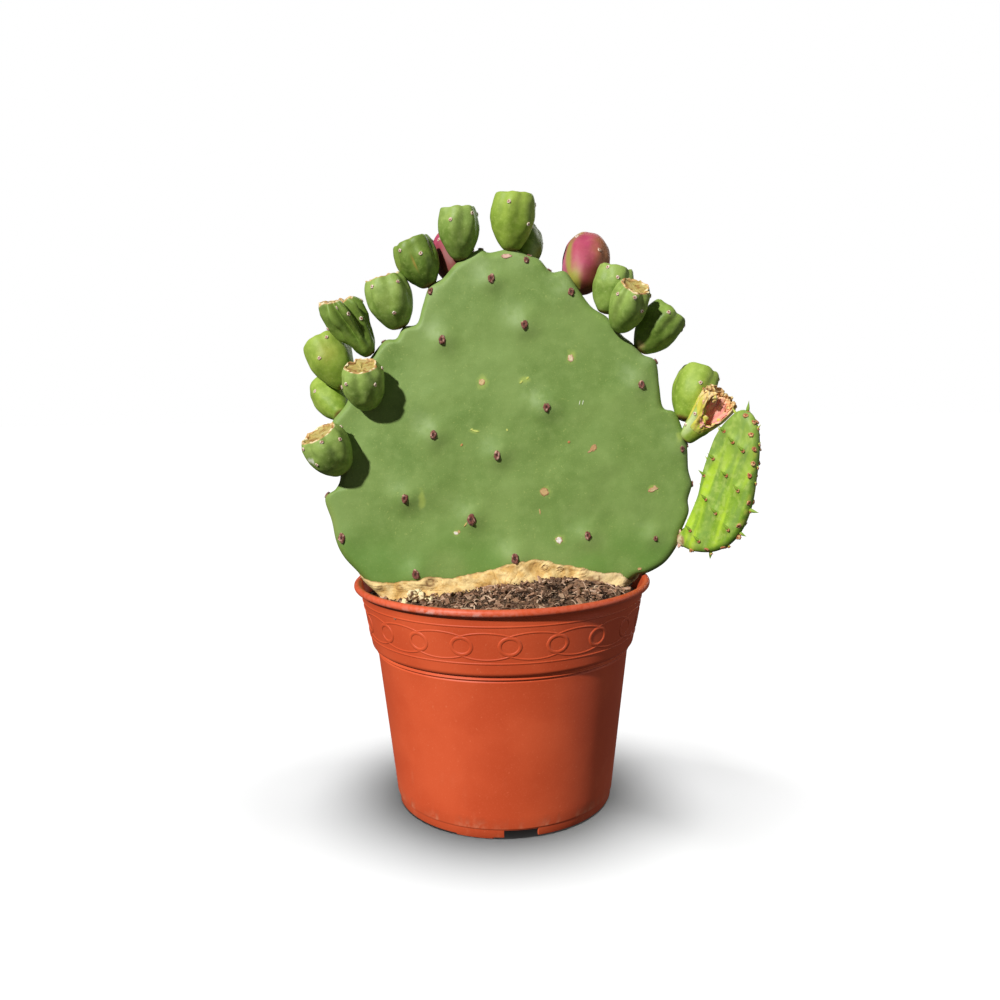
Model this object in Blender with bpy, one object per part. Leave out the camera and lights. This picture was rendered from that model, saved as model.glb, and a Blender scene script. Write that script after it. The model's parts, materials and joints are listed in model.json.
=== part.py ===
"""Potted paddle cactus: an old paddle with fruits and a young paddle, in a moulded nursery pot.

Sizes and places are in millimetres, measured from the pot's axis at the floor, with +X to the
right, -Y to the front and +Z up. They become metres where a mesh is made. The pot's axis stands
a little off the origin, so that the origin lies under the middle of the whole plant.
"""

import math
import random
from collections import namedtuple

import bmesh
import bpy
from mathutils import Matrix, Vector

MM = 0.001
GAP = 0.3
POT_AXIS_X = -16.7

# Pot: a thin moulded wall with a rolled rim, a band, a shoulder with two grooves and a foot skirt.
WALL = 1.6
RIM_ROLL_RADIUS = 98.2
RIM_ROLL_SIZE = 2.3
RIM_ROLL_HEIGHT = 150.0
BAND_TOP = (94.4, 141.5)
BAND_FOOT = (89.8, 113.0)
BODY_TOP = (85.6, 103.8)
BODY_FOOT = (75.0, 8.0)
FLOOR_UNDERSIDE = 6.5
FLOOR_TOP = 8.6
SKIRT_OUTER = 73.8
SKIRT_INNER = 71.6
SKIRT_FOOT = 1.0
PAD_OUTER = 73.2
PAD_INNER = 69.6
PAD_SPAN = (-25.0, -6.0)
NOTCH_SPAN = (-0.7, 16.3)
FOOT_REPEATS = 4
DRAIN_HOLES = 6
DRAIN_RING = 48.0
DRAIN_RADIUS = 5.0
POT_SEGMENTS = 44

# Soil: a mound that is highest at the right of the paddle's foot.
SOIL_LEVEL = 141.0
MOUND_HEIGHT = 11.0
MOUND_PLACE = (35.0, 0.0)
MOUND_LEFT, MOUND_RIGHT, MOUND_DEPTH = 50.0, 42.0, 45.0
SOIL_RIM_DROP = 1.5

# Outlines lie in the XZ plane and run clockwise as seen from the front.

# Main paddle: one point on each bump that carries an areole and one in each dip between bumps.
PADDLE_CENTRE = (4.0, 245.0)
PADDLE_EDGE = (
    (-87, 143), (-98, 155.5), (-108, 167), (-113, 178), (-115.5, 192), (-119.5, 207.5),
    (-112, 214), (-108.5, 222), (-109, 237), (-113.5, 249), (-113, 259), (-103, 271), (-98, 284),
    (-87, 300), (-76, 312.5), (-68, 314), (-63, 321.5), (-54, 323.5), (-50, 335), (-45, 348),
    (-36, 353), (-27, 362.5), (-12, 371), (-5, 369), (9, 371), (21, 366.5), (28, 364),
    (35.5, 356), (45, 356), (53, 345), (62, 333), (72, 327.5), (84, 314.5), (91, 310),
    (97, 301.5), (105, 296.5), (107.5, 280), (110, 266), (118, 262.5), (123, 252),
    (126.5, 240), (127.5, 224), (130, 213.5), (127.5, 203), (128, 194), (122.5, 180),
    (120, 171), (112, 160), (101, 153.3), (93, 151.6), (86, 146), (78, 134), (40, 124), (0, 120),
    (-40, 124), (-76, 133),
)
PADDLE_POINTS = 90
PADDLE_RINGS = (0.985, 0.95, 0.82, 0.5)
PADDLE_REACH = 122.0
PADDLE_EDGE_ROUND = 6.0
PADDLE_CROWN = 4.0
PADDLE_BASE_SWELL = 0.3
SWELL_TOP, SWELL_SPAN = 200.0, 60.0

FACE_AREOLES = (
    (-4, 351), (48, 341), (17, 321), (-37, 312), (94, 281), (31, 267), (-44, 250), (-2, 236),
    (-64, 208), (-20, 193), (9, 168), (-58, 158), (58, 181), (104, 178), (-107, 182),
)
SPENT_AREOLES = ((-11, 284), (48, 298), (63, 240), (30, 211), (102, 211), (39, 178))
EDGE_AREOLES = (
    (-119, 208), (-76, 312), (-45, 347), (-11, 370.5), (21, 366), (34, 357), (104.5, 296),
    (126.5, 240), (129.5, 213),
)
BACK_SHIFT = (8.0, 5.0)
AREOLE_RADIUS = 3.4
AREOLE_HEIGHT = 1.9
SPENT_RADIUS = 3.0
SPENT_HEIGHT = 0.7
AREOLE_SIDES = 5

# Corky base: the woody foot of the old paddle. The line where it meets the green flesh.
CORK_LINE = (
    (-110, 152.5), (-92, 152), (-78, 150.5), (-62, 151.3), (-50, 153.5), (-38, 152),
    (-27, 154.6), (-6, 157.7), (7, 163), (20, 164.2), (32, 164.3), (40, 161), (55, 159),
    (69, 154.2), (80, 154.4), (87, 149), (93, 145),
)
CORK_LINE_GAP = 0.4
CORK_CENTRE = (0.0, 140.0)
CORK_EDGE = (
    (-99, 166), (-84, 184), (0, 192), (84, 182), (92, 160), (86.5, 149), (79, 139), (66, 126),
    (46, 111), (24, 103), (0, 101), (-24, 103), (-48, 112), (-68, 127), (-84, 142),
    (-93.5, 152),
)
CORK_POINTS = 48
CORK_RINGS = (0.96, 0.85, 0.5)
CORK_REACH = 70.0
CORK_EDGE_ROUND = 7.0
CORK_CROWN = 6.5

# Young paddle: seen from its own face, from the joint at (0, 0), with its width turned forward.
YOUNG_JOINT = (122.5, -2.5, 176.0)
YOUNG_TURN = -45.0
YOUNG_CENTRE = (34.0, 36.0)
YOUNG_EDGE = (
    (-3.0, 0.5), (2, 5.5), (7, 15), (14, 31), (17.5, 47), (22, 60), (27, 72), (34, 81),
    (43, 87.5), (50.5, 86), (55.5, 77), (57.5, 62), (56.5, 46), (53.5, 28), (47, 12),
    (38, 1), (26, -5.5), (12, -7), (3, -5), (-2.5, -3),
)
YOUNG_POINTS = 44
YOUNG_RINGS = (0.96, 0.87, 0.55)
YOUNG_REACH = 34.0
YOUNG_EDGE_ROUND = 4.0
YOUNG_CROWN = 1.6
LEAF_START = (26.5, 57.0)
LEAF_STEP = (8.5, -10.0)
LEAF_ROW = (-6.5, -24.5)
LEAF_MARGIN = 0.87
LEAF_RADIUS = 1.25
LEAF_LENGTH = 4.6
LEAF_LEAN = 0.55
EDGE_LEAVES = 20

# Fruits: base point, sway to the right of upright, nod to the front, length and width, and how
# deep the ribs are. A fruit is "scarred" where the flower left a sunken dish at the top.
Fruit = namedtuple("Fruit", "name base sway nod length width rib kind")
FRUITS = (
    Fruit("fruit_01", (-105.0, -6.5, 227.8), -27, 28, 33, 32.0, 0.04, "scarred"),
    Fruit("fruit_02", (-105.6, 4.8, 262.4), -37, -41, 39, 24.0, 0.02, "green"),
    Fruit("fruit_03", (-104.0, 4.0, 282.6), -28, -8, 41, 29.5, 0.03, "green"),
    Fruit("fruit_04", (-85.0, -2.0, 302.7), -31, 12, 43, 25.0, 0.13, "scarred"),
    Fruit("fruit_05", (-86.5, -6.5, 270.6), -3, 30, 33, 26.5, 0.05, "scarred"),
    Fruit("fruit_06", (-64.0, 0.0, 321.0), -17, 6, 36, 29.5, 0.04, "scarred"),
    Fruit("fruit_07", (-44.4, 0.0, 347.6), -22, 3, 35, 26.5, 0.06, "green"),
    Fruit("fruit_08", (-27.8, 6.5, 353.3), -7, -39, 43, 29.0, 0.02, "ripe"),
    Fruit("fruit_09", (-23.7, -2.0, 364.0), -3, 7, 36, 26.5, 0.06, "green"),
    Fruit("fruit_10", (9.0, -1.0, 369.5), 4, 6, 39, 29.0, 0.06, "green"),
    Fruit("fruit_11", (21.1, 4.8, 362.2), 1, -45, 34, 25.0, 0.04, "green"),
    Fruit("fruit_12", (53.9, 7.0, 342.9), 13, -35, 48, 32.0, 0.02, "ripe"),
    Fruit("fruit_13", (70.3, 0.5, 328.5), 15, 3, 33, 24.0, 0.06, "green"),
    Fruit("fruit_14", (79.3, -5.6, 315.2), 19, 34, 35, 24.5, 0.07, "scarred"),
    Fruit("fruit_15", (92.3, 3.0, 304.0), 40, -13, 38, 28.0, 0.05, "green"),
    Fruit("fruit_16", (120.4, 2.4, 256.6), 25, -18, 41, 29.5, 0.02, "green"),
    Fruit("flower_ovary", (124.5, -2.5, 243.5), 37, 20, 32, 23.0, 0.04, "ovary"),
)
# Share of the half width at each share of the length, from the base up and into the crown.
FRUIT_PROFILES = {
    "green": ((0.0, 0.0), (0.03, 0.32), (0.14, 0.56), (0.34, 0.84), (0.58, 1.0), (0.8, 0.94),
              (0.95, 0.72), (0.985, 0.5), (0.93, 0.34), (0.9, 0.0)),
    "scarred": ((0.0, 0.0), (0.03, 0.36), (0.14, 0.62), (0.34, 0.88), (0.58, 1.0), (0.8, 0.94),
                (0.96, 0.76), (1.0, 0.68), (0.93, 0.56), (0.9, 0.0)),
    "ripe": ((0.0, 0.0), (0.03, 0.4), (0.13, 0.66), (0.32, 0.9), (0.55, 1.0), (0.76, 0.95),
             (0.92, 0.72), (0.99, 0.42), (0.96, 0.28), (0.94, 0.0)),
    "ovary": ((0.0, 0.0), (0.03, 0.34), (0.15, 0.5), (0.4, 0.68), (0.65, 0.84), (0.85, 0.96),
              (0.97, 1.0), (1.0, 0.9), (0.9, 0.72), (0.86, 0.0)),
}
FRUIT_RIBS = 6
FRUIT_TWIST = math.radians(34.0)
FRUIT_AREOLES = 5
FRUIT_AREOLE_RADIUS = 1.35
FRUIT_AREOLE_HEIGHT = 1.1
SPIKE_ROOT = 1.4
GOLDEN_ANGLE = math.radians(137.5)

# Withered flower: petals that rise from the ovary's crown and fold in over it.
PETALS = 9
PETAL_ROOT_RADIUS = 8.4
PETAL_ROOT_DEPTH = 2.0
PETAL_LENGTH = 15.0
PETAL_WIDTH = 7.5
PETAL_THICKNESS = 1.2
PETAL_SECTIONS = 3
FLOWER_SEED = 7

Finish = namedtuple("Finish", "colour roughness")
POT_PLASTIC = Finish((0.53, 0.115, 0.04), 0.5)
SOIL_MULCH = Finish((0.06, 0.04, 0.03), 0.95)
CORK_BARK = Finish((0.50, 0.33, 0.13), 0.85)
OLD_FLESH = Finish((0.20, 0.34, 0.11), 0.55)
YOUNG_FLESH = Finish((0.32, 0.56, 0.07), 0.5)
FRUIT_GREEN = Finish((0.24, 0.42, 0.07), 0.5)
FRUIT_RIPE = Finish((0.45, 0.09, 0.15), 0.5)
PETAL_TAN = Finish((0.62, 0.42, 0.16), 0.8)


def clear_scene():
    """Remove every object, so that the file holds only this model."""
    for thing in list(bpy.data.objects):
        bpy.data.objects.remove(thing, do_unlink=True)


def smooth_step(value):
    """Ease a value from 0 to 1."""
    value = min(max(value, 0.0), 1.0)
    return value * value * (3.0 - 2.0 * value)


def smooth_loop(points, steps=8):
    """Run a closed Catmull-Rom curve through the points."""
    curve = []
    count = len(points)
    for index in range(count):
        p0, p1, p2, p3 = (Vector(points[(index + k) % count]) for k in (-1, 0, 1, 2))
        for step in range(steps):
            t = step / steps
            curve.append(0.5 * (2 * p1 + (p2 - p0) * t + (2 * p0 - 5 * p1 + 4 * p2 - p3) * t * t
                                + (3 * p1 - p0 - 3 * p2 + p3) * t ** 3))
    return curve


def even_loop(points, count):
    """Place count points at even distances along a smooth closed curve."""
    curve = smooth_loop(points)
    curve.append(curve[0])
    reach = [0.0]
    for start, end in zip(curve, curve[1:]):
        reach.append(reach[-1] + (end - start).length)
    placed = []
    segment = 0
    for index in range(count):
        goal = reach[-1] * index / count
        while reach[segment + 1] < goal:
            segment += 1
        share = (goal - reach[segment]) / (reach[segment + 1] - reach[segment])
        placed.append(curve[segment].lerp(curve[segment + 1], share))
    return placed


def bridge(mesh, lower, upper):
    """Close the band between two rings of the same number of points, with triangles.

    Each four-sided patch is split along the same diagonal in a piece and in the cutter for its
    seat, so that the two stay clear of each other where a patch isn't flat.
    """
    count = len(lower)
    for index in range(count):
        following = (index + 1) % count
        mesh.faces.new((lower[index], lower[following], upper[following]))
        mesh.faces.new((lower[index], upper[following], upper[index]))


def fan(mesh, ring, tip):
    """Close a ring to one point."""
    for index, corner in enumerate(ring):
        mesh.faces.new((corner, ring[(index + 1) % len(ring)], tip))


def add_point(mesh, x, y, z):
    """Add a point that is given in millimetres."""
    return mesh.verts.new((x * MM, y * MM, z * MM))


def revolve(profile, segments, shape=None):
    """Turn a profile of (radius, height) about Z. Points on the axis become single points.

    Where a shape is given, it turns (radius, height, column) into that point's radius and angle.
    """
    mesh = bmesh.new()
    rings = []
    for radius, height in profile:
        if radius == 0.0:
            rings.append([add_point(mesh, 0.0, 0.0, height)])
            continue
        ring = []
        for index in range(segments):
            reach, angle = radius, math.tau * index / segments
            if shape:
                reach, angle = shape(radius, height, index)
            ring.append(add_point(mesh, reach * math.cos(angle), reach * math.sin(angle), height))
        rings.append(ring)
    for lower, upper in zip(rings, rings[1:]):
        if len(lower) == 1:
            fan(mesh, upper, lower[0])
        elif len(upper) == 1:
            fan(mesh, lower, upper[0])
        else:
            bridge(mesh, lower, upper)
    if len(rings[0]) > 1:
        bridge(mesh, rings[-1], rings[0])
    return mesh


def outset(outline, grow):
    """Move the points of a clockwise outline outward, square to the line of their neighbours."""
    moved = []
    for index, point in enumerate(outline):
        along = outline[(index + 1) % len(outline)] - outline[index - 1]
        moved.append(point + Vector((-along.y, along.x)).normalized() * grow)
    return moved


def lens(outline, centre, rings, half_thickness, grow=0.0):
    """Make a flat closed body with a round edge from a clockwise outline in the XZ plane."""
    mesh = bmesh.new()
    middle = Vector(centre)
    edge = outset(outline, grow)
    rim = [add_point(mesh, point.x, 0.0, point.y) for point in edge]
    for side in (-1.0, 1.0):
        outer = rim
        for share in rings:
            ring = []
            for point in edge:
                place = middle + (point - middle) * share
                depth = half_thickness(share, place.y) + grow
                ring.append(add_point(mesh, place.x, side * depth, place.y))
            bridge(mesh, outer, ring)
            outer = ring
        depth = half_thickness(0.0, middle.y) + grow
        fan(mesh, outer, add_point(mesh, middle.x, side * depth, middle.y))
    return mesh


def rounded_thickness(share, reach, edge_round, crown):
    """Half thickness of a flat body: a round edge, and a crown that rises to the middle."""
    inset = min((1.0 - share) * reach, edge_round)
    edge = math.sqrt(edge_round ** 2 - (edge_round - inset) ** 2)
    return edge + crown * (1.0 - share ** 2)


def paddle_thickness(share, height):
    """Half thickness of the main paddle, which swells towards its base."""
    swell = 1.0 + PADDLE_BASE_SWELL * smooth_step((SWELL_TOP - height) / SWELL_SPAN)
    return swell * rounded_thickness(share, PADDLE_REACH, PADDLE_EDGE_ROUND, PADDLE_CROWN)


def cork_thickness(share, _height):
    """Half thickness of the corky base."""
    return rounded_thickness(share, CORK_REACH, CORK_EDGE_ROUND, CORK_CROWN)


def young_thickness(share, _height):
    """Half thickness of the young paddle."""
    return rounded_thickness(share, YOUNG_REACH, YOUNG_EDGE_ROUND, YOUNG_CROWN)


def share_of_reach(point, outline, centre):
    """How far out a point lies, from 0 at the centre to 1 on the outline."""
    middle = Vector(centre)
    away = Vector(point) - middle
    for start, end in zip(outline, outline[1:] + outline[:1]):
        a = start - middle
        b = end - middle
        turn = a.x * b.y - a.y * b.x
        first = (a.x * away.y - a.y * away.x) / turn
        second = (away.x * b.y - away.y * b.x) / turn
        if first >= 0.0 and second >= 0.0:
            return first + second
    return 1.0


def nub(mesh, place, direction, radius, height, sides, sunk):
    """Add a low cone whose root is sunk below its place, with its tip along the direction."""
    turn = Vector((0.0, 0.0, 1.0)).rotation_difference(Vector(direction).normalized())
    matrix = Matrix.Translation(Vector(place)) @ turn.to_matrix().to_4x4()
    root, brim = [], []
    for index in range(sides):
        angle = math.tau * index / sides
        x, y = radius * math.cos(angle), radius * math.sin(angle)
        root.append(add_point(mesh, *(matrix @ Vector((x, y, -sunk)))))
        brim.append(add_point(mesh, *(matrix @ Vector((0.8 * x, 0.8 * y, 0.55 * height)))))
    bridge(mesh, root, brim)
    fan(mesh, brim, add_point(mesh, *(matrix @ Vector((0.0, 0.0, height)))))
    fan(mesh, root, add_point(mesh, *(matrix @ Vector((0.0, 0.0, -1.2 * sunk)))))


def spike(mesh, place, direction, radius, height):
    """Add one four-sided pointed leaf or tuft, with its root sunk below its place."""
    turn = Vector((0.0, 0.0, 1.0)).rotation_difference(Vector(direction).normalized())
    matrix = Matrix.Translation(Vector(place)) @ turn.to_matrix().to_4x4()
    root = []
    for index in range(4):
        angle = math.tau * index / 4
        corner = Vector((radius * math.cos(angle), radius * math.sin(angle), -SPIKE_ROOT))
        root.append(add_point(mesh, *(matrix @ corner)))
    fan(mesh, root, add_point(mesh, *(matrix @ Vector((0.0, 0.0, height)))))
    mesh.faces.new(root)


def block(mesh, inner, outer, span, low, high, steps):
    """Add a curved block between two radii, two bearings from the front, and two heights."""
    columns = []
    for index in range(steps + 1):
        bearing = math.radians(span[0] + (span[1] - span[0]) * index / steps)
        x, y = math.sin(bearing), -math.cos(bearing)
        corners = ((inner, low), (outer, low), (outer, high), (inner, high))
        columns.append([add_point(mesh, r * x, r * y, z) for r, z in corners])
    for start, end in zip(columns, columns[1:]):
        bridge(mesh, start, end)
    mesh.faces.new(columns[0])
    mesh.faces.new(columns[-1])


def make_object(name, mesh, finish, parent, sharp=38.0):
    """Turn a bmesh into a named object with its own material, and shade it smooth."""
    bmesh.ops.recalc_face_normals(mesh, faces=mesh.faces)
    data = bpy.data.meshes.new(name)
    mesh.to_mesh(data)
    mesh.free()
    thing = bpy.data.objects.new(name, data)
    bpy.context.scene.collection.objects.link(thing)
    thing.parent = parent
    if finish:
        data.materials.append(make_material(name, finish))
        data.shade_smooth()
        data.set_sharp_from_angle(angle=math.radians(sharp))
    else:
        thing.hide_render = True
        thing.display_type = "WIRE"
    return thing


def make_material(name, finish):
    """Make a Principled material in the part's colour."""
    material = bpy.data.materials.new(name)
    material.use_nodes = True
    shader = material.node_tree.nodes["Principled BSDF"]
    shader.inputs["Base Color"].default_value = (*finish.colour, 1.0)
    shader.inputs["Roughness"].default_value = finish.roughness
    shader.inputs["Metallic"].default_value = 0.0
    return material


def combine(thing, tools, operation, solver="EXACT"):
    """Apply one Boolean between an object and a group of tool objects, then remove the tools."""
    group = bpy.data.collections.new("tools")
    bpy.context.scene.collection.children.link(group)
    for tool in tools:
        group.objects.link(tool)
    modifier = thing.modifiers.new("combine", "BOOLEAN")
    modifier.operation = operation
    modifier.solver = solver
    modifier.operand_type = "COLLECTION"
    modifier.collection = group
    bpy.context.view_layer.update()
    depsgraph = bpy.context.evaluated_depsgraph_get()
    result = bpy.data.meshes.new_from_object(thing.evaluated_get(depsgraph))
    thing.modifiers.clear()
    thing.data = result
    for tool in tools:
        bpy.data.objects.remove(tool, do_unlink=True)
    bpy.data.collections.remove(group)


def rim_roll():
    """Profile points of the rolled rim, from under its outer side over the top to its inner side."""
    points = []
    for angle in range(-110, 181, 42):
        turn = math.radians(angle)
        points.append((RIM_ROLL_RADIUS + RIM_ROLL_SIZE * math.cos(turn),
                       RIM_ROLL_HEIGHT + RIM_ROLL_SIZE * math.sin(turn)))
    return points


def pot_inner_wall():
    """Profile points of the pot's inside, from the rim down to the floor."""
    return [
        (BAND_TOP[0] - WALL, BAND_TOP[1]),
        (BAND_FOOT[0] - WALL, BAND_FOOT[1] - 1.0),
        (BODY_TOP[0] - WALL + 0.4, BODY_TOP[1] + 1.5),
        (BODY_FOOT[0] - WALL + 0.4, FLOOR_TOP),
    ]


def make_pot(parent):
    """Turn the pot's wall, then cut its skirt notches and drain holes and add its resting pads."""
    shoulder = [
        (BODY_TOP[0], BODY_TOP[1]), (BODY_TOP[0] - 0.5, BODY_TOP[1] + 0.5),
        (BODY_TOP[0] + 1.3, BODY_TOP[1] + 1.2), (BODY_TOP[0] + 1.8, BODY_TOP[1] + 2.3),
        (BODY_TOP[0] + 1.5, BODY_TOP[1] + 3.4), (BODY_TOP[0] + 1.0, BODY_TOP[1] + 3.9),
        (BAND_FOOT[0] - 1.0, BAND_FOOT[1] - 3.8), (BAND_FOOT[0] - 0.2, BAND_FOOT[1] - 2.0),
    ]
    profile = [(SKIRT_INNER, SKIRT_FOOT), (SKIRT_OUTER, SKIRT_FOOT),
               (SKIRT_OUTER + 0.3, FLOOR_UNDERSIDE), (BODY_FOOT[0] - 0.3, FLOOR_UNDERSIDE + 0.3),
               BODY_FOOT]
    profile += shoulder + [BAND_FOOT, BAND_TOP, (BAND_TOP[0] + 0.6, BAND_TOP[1] + 4.0)]
    profile += rim_roll() + pot_inner_wall()
    profile += [(0.0, FLOOR_TOP)]
    underside = [(0.0, FLOOR_UNDERSIDE), (SKIRT_INNER, FLOOR_UNDERSIDE)]
    pot = make_object("pot", revolve(underside + profile, POT_SEGMENTS), POT_PLASTIC, parent)

    pads = []
    for index in range(FOOT_REPEATS):
        turn = 360.0 * index / FOOT_REPEATS
        mesh = bmesh.new()
        span = (PAD_SPAN[0] + turn, PAD_SPAN[1] + turn)
        block(mesh, PAD_INNER, PAD_OUTER, span, 0.0, FLOOR_UNDERSIDE + 0.8, 3)
        pads.append(make_object("pad", mesh, None, parent))
    combine(pot, pads, "UNION")

    cuts = []
    for index in range(FOOT_REPEATS):
        turn = 360.0 * index / FOOT_REPEATS
        mesh = bmesh.new()
        span = (NOTCH_SPAN[0] + turn, NOTCH_SPAN[1] + turn)
        block(mesh, SKIRT_INNER - 6.0, SKIRT_OUTER + 6.0, span, -3.0, FLOOR_UNDERSIDE - 0.2, 4)
        cuts.append(make_object("notch", mesh, None, parent))
    for index in range(DRAIN_HOLES):
        angle = math.tau * (index + 0.5) / DRAIN_HOLES
        mesh = bmesh.new()
        place = Matrix.Translation((DRAIN_RING * math.cos(angle) * MM,
                                    DRAIN_RING * math.sin(angle) * MM, FLOOR_UNDERSIDE * MM))
        bmesh.ops.create_cone(mesh, cap_ends=True, segments=12, radius1=DRAIN_RADIUS * MM,
                              radius2=DRAIN_RADIUS * MM, depth=10.0 * MM, matrix=place)
        cuts.append(make_object("drain", mesh, None, parent))
    combine(pot, cuts, "DIFFERENCE")
    return pot


def soil_height(x, y):
    """Height of the soil's surface."""
    across = x - MOUND_PLACE[0]
    spread = MOUND_LEFT if across < 0.0 else MOUND_RIGHT
    bulge = (across / spread) ** 2 + ((y - MOUND_PLACE[1]) / MOUND_DEPTH) ** 2
    return SOIL_LEVEL + MOUND_HEIGHT * math.exp(-bulge)


def make_soil(parent, foot_cutter):
    """Fill the pot with soil, with a mounded top and a hole where the corky base stands."""
    wall = pot_inner_wall()
    taper = (wall[0][0] - wall[1][0]) / (wall[0][1] - wall[1][1])
    top_radius = wall[0][0] - SOIL_RIM_DROP * taper - GAP
    shares = (0.97, 0.82, 0.64, 0.44, 0.22)
    mesh = bmesh.new()
    rings = []
    for radius, height in ((wall[3][0] - GAP, wall[3][1] + GAP), (wall[2][0] - GAP, wall[2][1]),
                           (wall[1][0] - GAP, wall[1][1])):
        rings.append([(radius, height)] * POT_SEGMENTS)
    for share in (1.0,) + shares:
        rings.append([(top_radius * share, None)] * POT_SEGMENTS)
    placed = []
    for ring in rings:
        corners = []
        for index, (radius, height) in enumerate(ring):
            angle = math.tau * index / POT_SEGMENTS
            x, y = radius * math.cos(angle), radius * math.sin(angle)
            level = soil_height(x, y) if height is None else height
            if height is None and radius == top_radius:
                level = BAND_TOP[1] - SOIL_RIM_DROP
            corners.append(add_point(mesh, x, y, level))
        placed.append(corners)
    for lower, upper in zip(placed, placed[1:]):
        bridge(mesh, lower, upper)
    fan(mesh, placed[-1], add_point(mesh, 0.0, 0.0, soil_height(0.0, 0.0)))
    fan(mesh, placed[0], add_point(mesh, 0.0, 0.0, wall[3][1] + GAP))
    soil = make_object("soil", mesh, SOIL_MULCH, parent)
    combine(soil, [foot_cutter], "DIFFERENCE")
    return soil


def below_cork_line(parent, lift):
    """A thick plate that fills everything below the line where cork meets flesh."""
    mesh = bmesh.new()
    outline = [(x, z + lift) for x, z in CORK_LINE] + [(130.0, 60.0), (-130.0, 60.0)]
    front = [add_point(mesh, x, -60.0, z) for x, z in outline]
    back = [add_point(mesh, x, 60.0, z) for x, z in outline]
    bridge(mesh, front, back)
    mesh.faces.new(front)
    mesh.faces.new(back)
    return make_object("below_cork_line", mesh, None, parent)


def make_corky_base(parent):
    """Make the woody foot, cut to the line where the green flesh starts."""
    outline = even_loop(CORK_EDGE, CORK_POINTS)
    body = lens(outline, CORK_CENTRE, CORK_RINGS, cork_thickness)
    base = make_object("corky_base", body, CORK_BARK, parent)
    combine(base, [below_cork_line(parent, -CORK_LINE_GAP / 2)], "INTERSECT")
    cutter = lens(outline, CORK_CENTRE, CORK_RINGS, cork_thickness, GAP)
    return base, make_object("foot_cutter", cutter, None, parent)


def paddle_areoles(outline):
    """Make the woolly buttons on both faces and on the edge of the main paddle."""
    mesh = bmesh.new()
    buttons = [(x, z, AREOLE_RADIUS, AREOLE_HEIGHT) for x, z in FACE_AREOLES]
    buttons += [(x, z, SPENT_RADIUS, SPENT_HEIGHT) for x, z in SPENT_AREOLES]
    for x, z, radius, height in buttons:
        for side in (-1.0, 1.0):
            place = (x, z) if side < 0.0 else (BACK_SHIFT[0] - x, z + BACK_SHIFT[1])
            share = share_of_reach(place, outline, PADDLE_CENTRE)
            if share > 0.95:
                continue
            depth = paddle_thickness(share, place[1])
            nub(mesh, (place[0], side * depth, place[1]), (0.0, side, 0.35), radius, height,
                AREOLE_SIDES, 2.2)
    for x, z in EDGE_AREOLES:
        away = Vector((x, z)) - Vector(PADDLE_CENTRE)
        nub(mesh, (x, 0.0, z), (away.x, 0.0, away.y), 0.85 * AREOLE_RADIUS, AREOLE_HEIGHT,
            AREOLE_SIDES, 2.5)
    return mesh


def make_main_paddle(parent, seats):
    """Make the old paddle, with its areoles, and cut a seat for all that grows on its edge."""
    outline = even_loop(PADDLE_EDGE, PADDLE_POINTS)
    body = lens(outline, PADDLE_CENTRE, PADDLE_RINGS, paddle_thickness)
    paddle = make_object("main_paddle", body, OLD_FLESH, parent)
    combine(paddle, [make_object("areoles", paddle_areoles(outline), None, parent)], "UNION")
    cuts = seats + [below_cork_line(parent, CORK_LINE_GAP / 2)]
    combine(paddle, cuts, "DIFFERENCE")
    return paddle


def young_leaves(outline):
    """Make the pointed leaves on both faces, by a slanted lattice, and round the edge."""
    mesh = bmesh.new()
    start, step, row = Vector(LEAF_START), Vector(LEAF_STEP), Vector(LEAF_ROW)
    for across in range(-4, 7):
        for down in range(-3, 5):
            place = start + across * step + down * row
            share = share_of_reach(place, outline, YOUNG_CENTRE)
            if share > LEAF_MARGIN:
                continue
            depth = young_thickness(share, place.y)
            for side in (-1.0, 1.0):
                spike(mesh, (place.x, side * depth, place.y), (0.0, side, LEAF_LEAN),
                      LEAF_RADIUS, LEAF_LENGTH)
    for index in range(EDGE_LEAVES):
        turn = math.tau * (index + 0.5) / EDGE_LEAVES
        away = Vector((math.cos(turn), math.sin(turn)))
        probe = Vector(YOUNG_CENTRE) + away
        reach = 1.0 / share_of_reach(probe, outline, YOUNG_CENTRE)
        place = Vector(YOUNG_CENTRE) + away * reach
        if place.x > 10.0:
            spike(mesh, (place.x, 0.0, place.y), (away.x, 0.0, away.y + LEAF_LEAN),
                  LEAF_RADIUS, LEAF_LENGTH)
    return mesh


def set_young_place(thing):
    """Put a young paddle's mesh at its joint, turned forward."""
    thing.location = Vector(YOUNG_JOINT) * MM
    thing.rotation_euler = (0.0, 0.0, math.radians(YOUNG_TURN))
    return thing


def make_young_paddle(parent):
    """Make the young paddle with its leaves, and the cutter for its seat."""
    outline = even_loop(YOUNG_EDGE, YOUNG_POINTS)
    body = lens(outline, YOUNG_CENTRE, YOUNG_RINGS, young_thickness)
    paddle = set_young_place(make_object("young_paddle", body, YOUNG_FLESH, parent))
    leaves = set_young_place(make_object("leaves", young_leaves(outline), None, parent))
    combine(paddle, [leaves], "UNION")
    cutter = lens(outline, YOUNG_CENTRE, YOUNG_RINGS, young_thickness, GAP)
    return paddle, set_young_place(make_object("young_seat", cutter, None, parent))


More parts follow.
